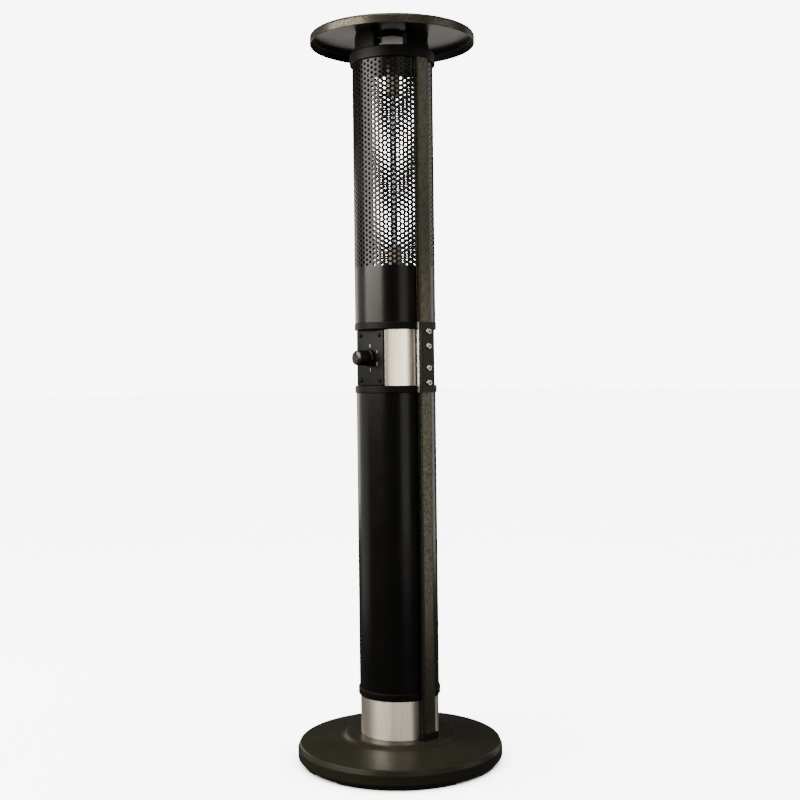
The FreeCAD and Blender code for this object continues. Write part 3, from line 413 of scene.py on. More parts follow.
def makeBase():
    low, high = span("base_cover")
    shape = metres(baseShape)
    wall = shape["wall"]
    radius = high.x
    coneTop = high.z - shape["hubRise"]
    shoulder = coneTop - shape["coneRise"]
    bandTop = shoulder - shape["shoulderRise"]
    bandLow = bandTop - shape["rimHeight"]
    hub = span("strut_shoe_right")[1].x + shape["hubMargin"]
    cone = hub + shape["coneStep"]
    corners = [
        (radius - shape["rimTurnIn"], low.z, 0), (radius, bandLow, shape["rimRound"]),
        (radius, bandTop, shape["rimRound"]),
        (radius - shape["shoulderInset"], shoulder, shape["shoulderRound"]),
        (cone, coneTop, shape["coneRound"]), (hub, high.z, shape["hubRound"]),
        (shape["wireHole"], high.z, 0), (shape["wireHole"], high.z - wall, 0), (hub - wall, high.z - wall, 0),
        (cone - wall, coneTop - wall, 0), (radius - shape["shoulderInset"] - wall, shoulder - wall, 0),
        (radius - wall, bandTop, 0), (radius - wall, bandLow, 0),
        (radius - shape["rimTurnIn"] - wall, low.z, 0)]
    turnedPiece("base_shell", corners, "bronze", "hammer_paint", turns=192, stands=["base_cover"])


# Hood

hoodShape = {"topRound": 5.0, "wall": 1.5, "lipRound": 0.6, "discRound": 1.0, "discHeight": 2.4, "stem": 8.0}


def makeHood():
    low, high = span("cap")
    shape = metres(hoodShape)
    wall = shape["wall"]
    radius = high.x
    corners = [(0, high.z, 0), (radius, high.z, shape["topRound"]), (radius, low.z, shape["lipRound"]),
               (radius - wall, low.z, shape["lipRound"]),
               (radius - wall, high.z - wall, shape["topRound"] - wall), (0, high.z - wall, 0)]
    pan = turnedPiece("hood_pan", corners, "hammer", "hammer_paint", turns=192, steps=10, stands=["cap"])
    # the flat inside of the pan is semi-gloss and mirrors the pale floor, and its inner wall is dull black as
    # painted shade under the rim
    ceiling = high.z - 2 * wall
    recolour(pan, "dullBlack", lambda face: face.center.xy.dot(face.normal.xy) < 0)
    recolour(pan, "lining", lambda face: face.normal.z < -squareOn and face.center.z > ceiling)
    low, high = span("cap_boss")
    turnedPiece("hood_disc", [
        (0, low.z, 0), (high.x, low.z, shape["discRound"]),
        (high.x, low.z + shape["discHeight"], shape["discRound"]),
        (shape["stem"], low.z + shape["discHeight"], 0), (shape["stem"], high.z, 0), (0, high.z, 0)],
        "lining", "sheet_steel", turns=96, stands=["cap_boss"])


# Column tubes and rings

ringShape = {"round": 1.8, "web": 2.0, "bore": 56.0, "slip": 0.2, "tubeWall": 1.2, "tubeEdge": 0.4}


def makeColumn():
    shape = metres(ringShape)
    edge = shape["tubeEdge"]
    for name, node, finish, slot in (
            ("neck_band", "neck_sleeve", "steel", "brushed_steel"),
            ("lower_column", "lower_tube", "satinBlack", "satin_black")):
        low, high = span(node)
        inner = high.x - shape["tubeWall"]
        turnedPiece(name, rectangle(inner, high.x, low.z, high.z, edge), finish, slot, turns=160, steps=2,
                    stands=[node])
    tube = span("lower_tube")[1].x + shape["slip"]
    sleeve = span("neck_sleeve")[1].x + shape["slip"]
    for name, node, below, above in (
            ("bottom_band", "bottom_ring", sleeve, tube), ("lower_band", "lower_mid_ring", tube, sleeve),
            ("upper_band", "upper_mid_ring", sleeve, tube)):
        low, high = span(node)
        webLow = (low.z + high.z - shape["web"]) / 2
        webHigh = webLow + shape["web"]
        turnedPiece(name, [
            (below, low.z, edge), (high.x, low.z, shape["round"]), (high.x, high.z, shape["round"]),
            (above, high.z, edge), (above, webHigh, 0), (shape["bore"], webHigh, 0),
            (shape["bore"], webLow, 0), (below, webLow, 0)],
            "dullBlack", "satin_black", turns=160, steps=5, stands=[node])


makeBase()
makeHood()
makeColumn()
print("base, hood and column made")


# Perforated guard: cells laid out flat and rolled up

guardShape = {"columns": 60, "pitch": 7.86, "hole": 5.0, "wall": 1.0, "plain": 92.5, "plainTop": 1.0,
              "weld": 0.05}


def holeCell(width, height, radius):
    # flat cell with a twelve-sided hole; its rim points meet those of a cell half a pitch away
    across = (0.5, 0.5, 0.25, 0, -0.25, -0.5, -0.5, -0.5, -0.25, 0, 0.25, 0.5)
    upwards = (0, 0.5, 0.5, 0.5, 0.5, 0.5, 0, -0.5, -0.5, -0.5, -0.5, -0.5)
    count = len(across)
    builder = bmesh.new()
    rim = [builder.verts.new((x * width, 0, z * height)) for x, z in zip(across, upwards)]
    edge = []
    for index in range(count):
        angle = 2 * math.pi * index / count
        edge.append(builder.verts.new((radius * math.cos(angle), 0, radius * math.sin(angle))))
    skin(builder, [edge, rim])
    return builder


def plainCell(width, height):
    # plain cell with the same points along its top and bottom
    builder = bmesh.new()
    stops = [share * width for share in (-0.5, -0.25, 0, 0.25, 0.5)]
    low = [builder.verts.new((x, 0, -height / 2)) for x in stops]
    high = [builder.verts.new((x, 0, height / 2)) for x in stops]
    for index in range(len(stops) - 1):
        builder.faces.new([low[index], high[index], high[index + 1], low[index + 1]])
    return builder


def guardTree():
    tree, take, identifiers = newTree("rolledPerforatedSheet", [
        ("Cell", "Object"), ("Half Cell", "Object"), ("Band Cell", "Object"), ("Top Cell", "Object"),
        ("Columns", "Int"), ("Rows", "Int"), ("Cell Width", "Float"), ("Pitch", "Float"),
        ("First Row", "Float"), ("Band Middle", "Float"), ("Top Middle", "Float"), ("Radius", "Float"),
        ("Wall", "Float")])

    def calc(operation, *terms):
        return addNode(tree, "ShaderNodeMath", dict(enumerate(terms)), operation=operation).outputs[0]

    def point(x, z):
        return addNode(tree, "ShaderNodeCombineXYZ", {"X": x, "Z": z}).outputs[0]

    def shapeOf(label):
        return addNode(tree, "GeometryNodeObjectInfo", {"Object": take[label]}).outputs["Geometry"]

    def line(count, start, step):
        return addNode(tree, "GeometryNodeMeshLine", {"Count": count, "Start Location": start,
                                                      "Offset": step}).outputs[0]

    def copies(points, shape):
        return addNode(tree, "GeometryNodeInstanceOnPoints", {"Points": points, "Instance": shape}).outputs[0]

    def welded(geometry):
        return addNode(tree, "GeometryNodeMergeByDistance", {
            "Geometry": geometry, "Distance": guardShape["weld"] * mm}).outputs[0]

    pair = calc("DIVIDE", take["Columns"], 2.0)
    pairStep = point(calc("MULTIPLY", take["Cell Width"], 2.0), 0.0)
    halfPitch = calc("DIVIDE", take["Pitch"], 2.0)
    quarterPitch = calc("DIVIDE", take["Pitch"], 4.0)
    stack = copies(line(take["Rows"], (0.0, 0.0, 0.0), point(0.0, take["Pitch"])), shapeOf("Cell"))
    oddRow = calc("ADD", take["First Row"], halfPitch)
    fieldTop = calc("MULTIPLY_ADD", take["Rows"], take["Pitch"], take["First Row"])
    laid = [copies(line(pair, point(0.0, take["First Row"]), pairStep), stack),
            copies(line(pair, point(take["Cell Width"], oddRow), pairStep), stack)]
    # plain half cells even out the stagger: over the even columns and under the odd ones
    laid.append(copies(line(pair, point(0.0, calc("SUBTRACT", fieldTop, quarterPitch)), pairStep),
                       shapeOf("Half Cell")))
    underOdd = calc("SUBTRACT", take["First Row"], quarterPitch)
    laid.append(copies(line(pair, point(take["Cell Width"], underOdd), pairStep), shapeOf("Half Cell")))
    step = point(take["Cell Width"], 0.0)
    laid.append(copies(line(take["Columns"], point(0.0, take["Band Middle"]), step), shapeOf("Band Cell")))
    laid.append(copies(line(take["Columns"], point(0.0, take["Top Middle"]), step), shapeOf("Top Cell")))
    joined = tree.nodes.new("GeometryNodeJoinGeometry")
    for geometry in laid:
        tree.links.new(geometry, joined.inputs[0])
    flat = addNode(tree, "GeometryNodeRealizeInstances", {"Geometry": joined.outputs[0]}).outputs[0]

    # roll the sheet round the column, then give it its thickness
    spot = addNode(tree, "ShaderNodeSeparateXYZ", {0: addNode(tree, "GeometryNodeInputPosition").outputs[0]})
    angle = calc("DIVIDE", spot.outputs["X"], take["Radius"])
    rolled = addNode(tree, "ShaderNodeCombineXYZ", {
        "X": calc("MULTIPLY", calc("COSINE", angle), take["Radius"]),
        "Y": calc("MULTIPLY", calc("SINE", angle), take["Radius"]), "Z": spot.outputs["Z"]})
    tube = addNode(tree, "GeometryNodeSetPosition", {"Geometry": flat,
                                                     "Position": rolled.outputs[0]}).outputs[0]
    tube = welded(tube)
    inside = addNode(tree, "GeometryNodeFlipFaces", {"Mesh": tube}).outputs[0]
    wall = addNode(tree, "GeometryNodeExtrudeMesh", {"Mesh": inside, "Offset Scale": take["Wall"],
                                                     "Individual": False}).outputs[0]
    both = tree.nodes.new("GeometryNodeJoinGeometry")
    tree.links.new(tube, both.inputs[0])
    tree.links.new(wall, both.inputs[0])
    closeTree(tree, welded(both.outputs[0]))
    return tree, identifiers


def makeGuard():
    low, high = span("guard_tube")
    radius = span("lower_tube")[1].x
    pitch = guardShape["pitch"] * mm
    columns = guardShape["columns"]
    width = 2 * math.pi * radius / columns
    firstRow = span("upper_mid_ring")[1].z + guardShape["plain"] * mm
    room = span("top_collar")[0].z - guardShape["plainTop"] * mm - firstRow
    # every other column stands half a pitch higher
    rows = int((room - guardShape["hole"] * mm / 2 + pitch / 2) / pitch)
    fieldLow = firstRow - pitch / 2
    fieldHigh = firstRow + rows * pitch
    helpers = [
        helperObject("guardCell", holeCell(width, pitch, guardShape["hole"] * mm / 2)),
        helperObject("guardHalfCell", plainCell(width, pitch / 2)),
        helperObject("guardBandCell", plainCell(width, fieldLow - low.z)),
        helperObject("guardTopCell", plainCell(width, high.z - fieldHigh))]
    tree, identifiers = guardTree()
    mesh = nodesMesh("guard_sheet", tree, identifiers, {
        "Cell": helpers[0], "Half Cell": helpers[1], "Band Cell": helpers[2], "Top Cell": helpers[3],
        "Columns": columns, "Rows": rows, "Cell Width": width, "Pitch": pitch, "First Row": firstRow,
        "Band Middle": (low.z + fieldLow) / 2, "Top Middle": (fieldHigh + high.z) / 2, "Radius": radius,
        "Wall": guardShape["wall"] * mm})
    for helper in helpers:
        bpy.data.objects.remove(helper)
    mesh.materials.append(finishes["satinBlack"])
    newPiece("guard_sheet", mesh, "satin_black", ["guard_tube"])
    print("guard rows", rows, "faces", len(mesh.polygons))


makeGuard()


# Collar and its posts

collarShape = {"edgeRound": 1.2, "topRound": 2.2, "bore": 57.0, "socket": 8.0, "slip": 0.4, "postWidth": 47.0,
               "postOuter": 65.0, "chamferWidth": 6.0, "chamferHeight": 9.0, "collarHeight": 18.5,
               "postRound": 2.5}


def makeCollar():
    low, high = span("top_collar")
    shape = metres(collarShape)
    collarTop = low.z + shape["collarHeight"]
    seat = low.z + shape["socket"]
    tube = span("lower_tube")[1].x + shape["slip"]
    builder = bmesh.new()
    lathe(builder, held(filleted([
        (tube, low.z, 0), (high.x, low.z, shape["edgeRound"]), (high.x, collarTop, shape["topRound"]),
        (shape["bore"], collarTop, 0), (shape["bore"], seat, 0), (tube, seat, 0)], 5)), 160)
    half = shape["postWidth"] / 2
    top = filleted([(-half, collarTop, 0), (-half, high.z - shape["chamferHeight"], shape["postRound"]),
                    (-half + shape["chamferWidth"], high.z, shape["postRound"]),
                    (half - shape["chamferWidth"], high.z, shape["postRound"]),
                    (half, high.z - shape["chamferHeight"], shape["postRound"]), (half, collarTop, 0)], 5)
    stops = 24
    flat = half - shape["chamferWidth"]
    between = [Vector((flat * (2 * step / stops - 1), high.z)) for step in range(1, stops)]
    edge = sorted(top[1:-1] + between, key=lambda point: point.x)
    bottom = collarTop - shape["topRound"]
    for quarter in range(4):
        turn = Matrix.Rotation(math.pi / 2 * quarter, 4, "Z")
        rows = []
        for point in edge:
            row = []
            for radius in (shape["postOuter"], shape["bore"]):
                depth = math.sqrt(radius * radius - point.x * point.x)
                for height in (bottom, point.y):
                    row.append(builder.verts.new(turn @ Vector((depth, point.x, height))))
            rows.append(row)
        for here, there in zip(rows, rows[1:]):
            for a, b in ((0, 1), (1, 3), (3, 2), (2, 0)):
                builder.faces.new([here[a], here[b], there[b], there[a]])
        for row in (rows[0], rows[-1]):
            builder.faces.new([row[0], row[1], row[3], row[2]])
    mesh = meshFrom("collar_casting", builder, "dullBlack")
    newPiece("collar_casting", mesh, "satin_black", ["top_collar"])


# Struts and their splice

strutShape = {"wall": 1.5, "outerRound": 5.0, "coverRound": 1.8, "edgeRound": 0.5, "lipRound": 0.3}


def channelOutline(inner, outer, half, wall, soft, edge):
    return filleted([(inner, -half, edge), (outer, -half, soft), (outer, half, soft), (inner, half, edge),
                     (inner, half - wall, 0), (outer - wall, half - wall, 0), (outer - wall, wall - half, 0),
                     (inner, wall - half, 0)], 6)


def makeStruts():
    shape = metres(strutShape)
    railLow, railHigh = span("splice_rail_right")
    for name, node, finish, slot, soft in (
            ("upper_rail", "upper_strut", "hammer", "hammer_paint", "outerRound"),
            ("lower_rail", "lower_strut", "hammer", "hammer_paint", "outerRound"),
            ("splice_channel", "splice_rail", "zinc", "zinc_steel", "edgeRound"),
            ("splice_plate", "splice_cover", "bronze", "hammer_paint", "coverRound")):
        low, high = span(node + "_right")
        bottom, top = low.z, high.z
        if name == "upper_rail":
            bottom = railHigh.z
        if name == "lower_rail":
            top = railLow.z
        builder = bmesh.new()
        outline = channelOutline(low.x, high.x, high.y, shape["wall"], shape[soft], shape["lipRound"])
        prism(builder, held(outline), bottom, top)
        mirrorX(builder)
        rail = newPiece(name, meshFrom(name, builder, finish), slot, [node + "_right", node + "_left"])
        if name == "splice_plate":
            # the sides of the cover's legs are dull black as painted shade, standing for the shadow gap
            # beside the cover
            recolour(rail, "dullBlack", lambda face: abs(face.normal.y) > squareOn)


# Control housing and panel

panelShape = {"windowGap": 1.6, "windowOverlap": 1.0, "tubeWall": 1.2, "edge": 0.8, "corner": 2.5,
              "numeralSize": 7.0, "numeralRadius": 19.5, "numeralThickness": 0.06}


def makeHousing():
    # the window leaves a dark gap round the plate and runs on under both rings
    low, high = span("control_housing")
    shape = metres(panelShape)
    radius = high.x
    halfWindow = math.asin((span("control_panel")[1].x + shape["windowGap"]) / radius)
    front = -math.pi / 2
    stops = 120
    windowStops = 24
    sweep = 2 * math.pi - 2 * halfWindow
    angles = [front + halfWindow + sweep * step / stops for step in range(stops + 1)]
    angles += [front - halfWindow + 2 * halfWindow * step / windowStops for step in range(1, windowStops)]
    windowLow = span("lower_mid_ring")[1].z - shape["windowOverlap"]
    windowHigh = span("upper_mid_ring")[0].z + shape["windowOverlap"]
    heights = [low.z, windowLow, windowHigh, high.z]
    builder = bmesh.new()
    grid = [[builder.verts.new((radius * math.cos(angle), radius * math.sin(angle), height))
             for height in heights] for angle in angles]
    count = len(angles)
    for index in range(count):
        after = (index + 1) % count
        for level in range(3):
            if level == 1 and index >= stops:
                continue
            builder.faces.new([grid[index][level], grid[after][level], grid[after][level + 1],
                               grid[index][level + 1]])
    bmesh.ops.recalc_face_normals(builder, faces=builder.faces)
    bmesh.ops.solidify(builder, geom=builder.faces[:], thickness=shape["tubeWall"])
    newPiece("control_band", meshFrom("control_band", builder, "steel"), "brushed_steel", ["control_housing"])


def makePanel():
    low, high = span("control_panel")
    shape = metres(panelShape)
    half = high.x
    middle = (low.z + high.z) / 2
    rise = (high.z - low.z) / 2
    outline = filleted(rectangle(-half, half, -rise, rise, shape["corner"]))
    depth = high.y - low.y
    builder = bmesh.new()
    prism(builder, outline, 0, depth)
    front = [edge for edge in builder.edges if all(vertex.co.z > depth / 2 for vertex in edge.verts)]
    bmesh.ops.bevel(builder, geom=front, offset=shape["edge"], segments=3, affect="EDGES", profile=0.5)
    turn = Matrix.Translation((0, high.y, middle)) @ towardsFront
    mesh = meshFrom("dial_plate", builder, "panelPlastic", turn)
    newPiece("dial_plate", mesh, "black_plastic", ["control_panel"])


dialMarks = {"0": 0, "1": 60, "2": 120, "3": 180}


def makeNumerals():
    low, high = span("control_panel")
    shape = metres(panelShape)
    middle = (low.z + high.z) / 2
    builder = bmesh.new()
    for mark, degrees in dialMarks.items():
        text = bpy.data.curves.new("dialMark" + mark, "FONT")
        text.body = mark
        text.size = shape["numeralSize"]
        text.align_x = "CENTER"
        text.align_y = "CENTER"
        text.extrude = shape["numeralThickness"]
        flat = bakedMesh(addObject("dialMark" + mark, text))
        around = math.radians(degrees)
        reach = shape["numeralRadius"]
        spot = (reach * math.sin(around), low.y, middle + reach * math.cos(around))
        flat.transform(Matrix.Translation(spot) @ towardsFront)
        builder.from_mesh(flat)
        bpy.data.meshes.remove(flat)
    newPiece("dial_numerals", meshFrom("dial_numerals", builder, "dialPrint"), "pale_plastic")


knobShape = {"skirtHeight": 5.0, "skirtDraft": 0.4, "skirtRound": 1.0, "rootRise": 1.2, "rootStep": 0.5,
             "grip": 12.0, "dome": 1.6, "domeWidth": 5.4, "domeRound": 2.4, "recess": 8.6,
             "recessDepth": 4.0, "bore": 3.25, "boreDepth": 25.0, "ribWidth": 1.6, "ribRound": 0.72,
             "ribStart": 3.0, "ribEnd": 0.6, "ribDrop": 1.4, "heelRound": 0.4, "faceRound": 3.0}


def makeKnob():
    low, high = span("control_knob")
    shape = metres(knobShape)
    front = high.y - low.y
    skirt = high.x
    turn = Matrix.Translation((0, high.y, (low.z + high.z) / 2)) @ towardsFront
    builder = bmesh.new()
    lathe(builder, filleted([
        (shape["recess"], 0, 0), (skirt, 0, shape["heelRound"]),
        (skirt - shape["skirtDraft"], shape["skirtHeight"], shape["skirtRound"]),
        (shape["grip"] + shape["rootStep"], shape["skirtHeight"] + shape["rootRise"], 0),
        (shape["grip"], front - shape["dome"], shape["domeRound"]),
        (shape["grip"] - shape["domeWidth"], front, shape["faceRound"]), (0, front, 0),
        (0, shape["boreDepth"], 0), (shape["bore"], shape["boreDepth"], 0),
        (shape["bore"], shape["recessDepth"], 0),
        (shape["recess"], shape["recessDepth"], 0)], 7), 120)
    # moulded pointer rib across the dome, towards the mark at the top
    half = shape["ribWidth"] / 2
    end = shape["grip"] - shape["ribEnd"]
    rib = filleted(rectangle(-half, half, shape["ribStart"], end, shape["ribRound"]), 4)
    prism(builder, rib, front - shape["ribDrop"], front)
    knob = newPiece("knob_body", meshFrom("knob_body", builder, "knobPlastic", turn), "gloss_plastic",
                    ["control_knob"], body="knob")
    # the grip is left matt by the tool, and only the end face and its rounded edge are polished; the end
    # face's lighter grey is painted light and the grip's near-black is painted shade
    edgeTilt = 0.2
    recolour(knob, "mattPlastic", lambda face: face.normal.y > -edgeTilt)


makeCollar()
makeStruts()
makeHousing()
makePanel()
makeNumerals()
makeKnob()
print("collar, struts and controls made")


# Heating element

elementShape = {"footStep": 2.2, "footHeight": 4.8, "beltHeight": 15.0, "neckRise": 2.0, "neckStep": 1.55,
                "socket": 16.0, "socketRadius": 6.25, "quartzWall": 1.1, "wire": 1.1, "coil": 3.2,
                "round": 0.6, "socketRound": 0.3}
coilSteps = {"turns": 40, "perTurn": 18, "sides": 7}


def makeCeramic(name, node, upwards):
    low, high = span(node)
    shape = metres(elementShape)
    seat = low.z if upwards else high.z
    way = 1 if upwards else -1
    height = high.z - low.z
    radius = high.x
    neck = radius - shape["neckStep"]
    beltTop = shape["footHeight"] + shape["beltHeight"]

    def corner(reach, rise, soft=0.0):
        return reach, seat + way * rise, soft

    turnedPiece(name, [
        corner(0, 0), corner(radius - shape["footStep"], 0, shape["round"]),
        corner(radius, shape["footHeight"], shape["round"]), corner(radius, beltTop, shape["round"]),
        corner(neck, beltTop + shape["neckRise"], shape["round"]), corner(neck, height, shape["round"]),
        corner(shape["socketRadius"], height, shape["socketRound"]),
        corner(shape["socketRadius"], height - shape["socket"]),
        corner(0, height - shape["socket"])], "ceramic", "ceramic", turns=48, steps=3, stands=[node])


def makeFilament():
    low, high = span("heating_filament")
    shape = metres(elementShape)
    turns, perTurn, sides = coilSteps["turns"], coilSteps["perTurn"], coilSteps["sides"]
    radius = shape["wire"] / 2
    start = low.z + radius
    rise = high.z - low.z - 2 * radius
    slope = rise / turns / (2 * math.pi * shape["coil"])
    builder = bmesh.new()
    rings = []
    for step in range(turns * perTurn + 1):
        angle = 2 * math.pi * step / perTurn
        outward = Vector((math.cos(angle), math.sin(angle), 0))
        along = Vector((-math.sin(angle), math.cos(angle), slope)).normalized()
        side = along.cross(outward)
        middle = outward * shape["coil"] + Vector((0, 0, start + rise * step / (turns * perTurn)))
        ring = []
        for index in range(sides):
            around = 2 * math.pi * index / sides
            reach = outward * math.cos(around) + side * math.sin(around)
            ring.append(builder.verts.new(middle + reach * radius))
        rings.append(ring)
    skin(builder, rings)
    builder.faces.new(rings[0])
    builder.faces.new(rings[-1])
    mesh = meshFrom("wound_filament", builder, "wire")
    newPiece("wound_filament", mesh, "heating_wire", ["heating_filament"], sharp=60)


def makeElement():
    makeCeramic("lower_ceramic", "element_cap_lower", True)
    makeCeramic("upper_ceramic", "element_cap_upper", False)
    low, high = span("quartz_tube")
    inner = high.x - elementShape["quartzWall"] * mm
    turnedPiece("quartz_sleeve", rectangle(inner, high.x, low.z, high.z), "quartz", "quartz", turns=48,
                stands=["quartz_tube"])
    makeFilament()


makeElement()


# Screws

buttonScrew = {"head": 5.25, "rise": 3.3, "flat": 2.6, "socket": 2.0, "socketDepth": 1.9, "shank": 3.0,
               "length": 6.0}
panelScrew = {"head": 3.6, "rise": 2.2, "flat": 1.6, "arm": 2.0, "armHalf": 0.45, "socketDepth": 1.1,
              "shank": 2.0, "length": 11.0}
sunkScrew = {"head": 3.6, "rise": 0.0, "flat": 3.5, "arm": 2.1, "armHalf": 0.5, "socketDepth": 1.2,
             "shank": 2.0, "length": 11.0}


def hexagon(flats):
    return lambda angle: flats / math.cos((angle + math.pi / 6) % (math.pi / 3) - math.pi / 6)


def cross(arm, half):
    def reach(angle):
        lean = abs((angle + math.pi / 4) % (math.pi / 2) - math.pi / 4)
        if lean <= math.atan2(half, arm):
            return arm / math.cos(lean)
        return half / math.sin(lean)
    return reach


def screwShape(settings, socket, sunk=False):
    # stack of rings from the socket's floor, over the head and down the shank
    shape = metres(settings)
    rise = shape["rise"]
    depth = rise - shape["socketDepth"]
    head = shape["head"]
    rings = [(socket, depth), (socket, rise), (shape["flat"], rise)]
    if sunk:
        rings += [(head, rise), (shape["shank"], shape["shank"] - head)]
    else:
        # the head is a quarter straight and domed above that
        straight = 0.25
        for share in (0.25, 0.5, 0.75, 1.0):
            bend = share * math.pi / 2
            rings.append((shape["flat"] + (head - shape["flat"]) * math.sin(bend),
                          rise * (straight + (1 - straight) * math.cos(bend))))
        rings += [(head, 0), (shape["shank"], 0)]
    rings.append((shape["shank"], -shape["length"]))
    sides = 48
    builder = bmesh.new()
    rows = []
    for radius, height in rings:
        row = []
        for index in range(sides):
            angle = 2 * math.pi * index / sides
            reach = radius(angle) if callable(radius) else radius
            row.append(builder.verts.new((reach * math.cos(angle), reach * math.sin(angle), height)))
        rows.append(row)
    skin(builder, rows)
    builder.faces.new(rows[0])
    builder.faces.new(list(reversed(rows[-1])))
    bmesh.ops.recalc_face_normals(builder, faces=builder.faces)
    return builder


def screwTree():
    # two by two pattern of one screw, turned to face one way or outwards from the column
    tree, take, identifiers = newTree("screwPattern", [
        ("Screw", "Object"), ("Across", "Int"), ("Along", "Int"), ("Width", "Float"), ("Length", "Float"),
        ("Centre", "Vector"), ("Tip", "Vector"), ("Facing", "Vector"), ("Outward", "Vector")])
    grid = addNode(tree, "GeometryNodeMeshGrid", {"Size X": take["Width"], "Size Y": take["Length"],
                                                  "Vertices X": take["Across"], "Vertices Y": take["Along"]})
    placed = addNode(tree, "GeometryNodeTransform", {
        "Geometry": grid.outputs["Mesh"], "Translation": take["Centre"], "Rotation": take["Tip"]})
    spot = addNode(tree, "GeometryNodeInputPosition").outputs[0]
    away = addNode(tree, "ShaderNodeVectorMath", {0: spot, 1: take["Outward"], 2: take["Facing"]},
                   operation="MULTIPLY_ADD")
    facing = addNode(tree, "FunctionNodeAlignRotationToVector", {"Vector": away.outputs[0]}, axis="Z")
    shape = addNode(tree, "GeometryNodeObjectInfo", {"Object": take["Screw"]}).outputs["Geometry"]
    copies = addNode(tree, "GeometryNodeInstanceOnPoints", {"Points": placed.outputs[0], "Instance": shape,
                                                            "Rotation": facing.outputs[0]})
    closeTree(tree, copies.outputs[0])
    return tree, identifiers


def screwPiece(name, node, slot, shapes, finish, patterns):
    tree, identifiers = screwTree()
    none = (0.0, 0.0, 0.0)
    helper = helperObject(name + "Shape", shapes)
    builder = bmesh.new()
    for number, pattern in enumerate(patterns):
        settings = {"Screw": helper, "Across": 2, "Along": 2, "Tip": none, "Facing": none, "Outward": none,
                    **pattern}
        part = nodesMesh("%sPattern%d" % (name, number), tree, identifiers, settings)
        builder.from_mesh(part)
        bpy.data.meshes.remove(part)
    bpy.data.objects.remove(helper)
    return newPiece(name, meshFrom(name, builder, finish), slot, [node])


screwPlaces = {"innerPitch": 35.0, "outerPitch": 82.0, "panelWidth": 46.0, "panelHeight": 73.0,
               "hoodCircle": 61.0, "socketReach": 2.15}


def makeScrews():
    place = metres(screwPlaces)
    panelLow, panelHigh = span("control_panel")
    middle = (panelLow.z + panelHigh.z) / 2
    upOnEnd = (math.pi / 2, 0.0, 0.0)
    cover = span("splice_cover_right")[1].x
    keyed = hexagon(buttonScrew["socket"] * mm)
    pitches = (place["innerPitch"], place["outerPitch"])
    patterns = [{"Width": 2 * cover, "Length": pitch, "Centre": (0.0, 0.0, middle), "Tip": upOnEnd,
                 "Outward": (1.0, 0.0, 0.0)} for pitch in pitches]
    button = screwShape(buttonScrew, keyed)
    buttons = screwPiece("splice_buttons", "splice_screws", "zinc_steel", button, "zinc", patterns)

    def paintedSocketShade(face):
        rise = abs(face.center.z - middle)
        reach = min(math.hypot(face.center.y, rise - pitch / 2) for pitch in pitches)
        return abs(face.center.x) > cover and reach < place["socketReach"]

    # the insides of the hexagon sockets are dull black as painted shade in the recess
    recolour(buttons, "dullBlack", paintedSocketShade)
    slotted = cross(panelScrew["arm"] * mm, panelScrew["armHalf"] * mm)
    screwPiece("panel_pins", "panel_screws", "black_plastic", screwShape(panelScrew, slotted), "dullBlack",
               [{"Width": place["panelWidth"], "Length": place["panelHeight"], "Tip": upOnEnd,
                 "Centre": (0.0, panelLow.y, middle), "Facing": (0.0, -1.0, 0.0)}])
    sunk = cross(sunkScrew["arm"] * mm, sunkScrew["armHalf"] * mm)
    side = place["hoodCircle"] * math.sqrt(2)
    hoodTop = span("cap")[1].z
    screwPiece("hood_screws", "cap_screws", "zinc_steel", screwShape(sunkScrew, sunk, sunk=True), "zinc",
               [{"Width": side, "Length": side, "Centre": (0.0, 0.0, hoodTop), "Tip": (0.0, 0.0, math.pi / 4),
                 "Facing": (0.0, 0.0, 1.0)}])


makeScrews()
print("element and screws made")


# CAD nodes that are shown as they are

cadFinishes = {
    "rubber": ["base_feet"],
    "castIron": ["base_weight"],
    "sheet": ["base_plate", "neck_flange", "chassis_plate", "thermal_cutout", "element_tray", "element_stand",
              "element_hanger", "top_plate"],
    "zinc": ["base_plate_screws", "flange_bolts", "switch_nut", "switch_spindle", "top_plate_screws",
             "splice_nuts"],
    "dullBlack": ["cord_gland", "strut_shoe_right", "strut_shoe_left"],
    "panelPlastic": ["control_box", "rotary_switch", "tilt_switch"],
    "palePlastic": ["terminal_block"],
}
for finish, nodes in cadFinishes.items():
    for node in nodes:
        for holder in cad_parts[node].material_slots:
            holder.material = finishes[finish]


# Stage, lights and camera

view = {"distance": 1992.2, "height": 634.9, "azimuth": 48.0, "pitch": -0.21, "yaw": -0.198, "roll": -0.679,
        "focalPixels": 1212.2, "shiftPixels": -34.0, "framePixels": 800.0, "sensor": 36.0}


def makeCamera():
    data = bpy.data.cameras.new("photoCamera")
    data.sensor_width = view["sensor"]
    data.lens = view["focalPixels"] / view["framePixels"] * view["sensor"]
    data.shift_y = view["shiftPixels"] / view["framePixels"]
    camera = addObject("photoCamera", data)
    around = math.radians(view["azimuth"])
    distance = view["distance"] * mm
    stand = (distance * math.sin(around), -distance * math.cos(around), view["height"] * mm)
    aim = Matrix.Rotation(around + math.radians(view["yaw"]), 4, "Z")
    tip = Matrix.Rotation(math.radians(90 - view["pitch"]), 4, "X")
    lean = Matrix.Rotation(math.radians(view["roll"]), 4, "Z")
    camera.matrix_world = Matrix.Translation(stand) @ aim @ tip @ lean
    bpy.context.scene.camera = camera


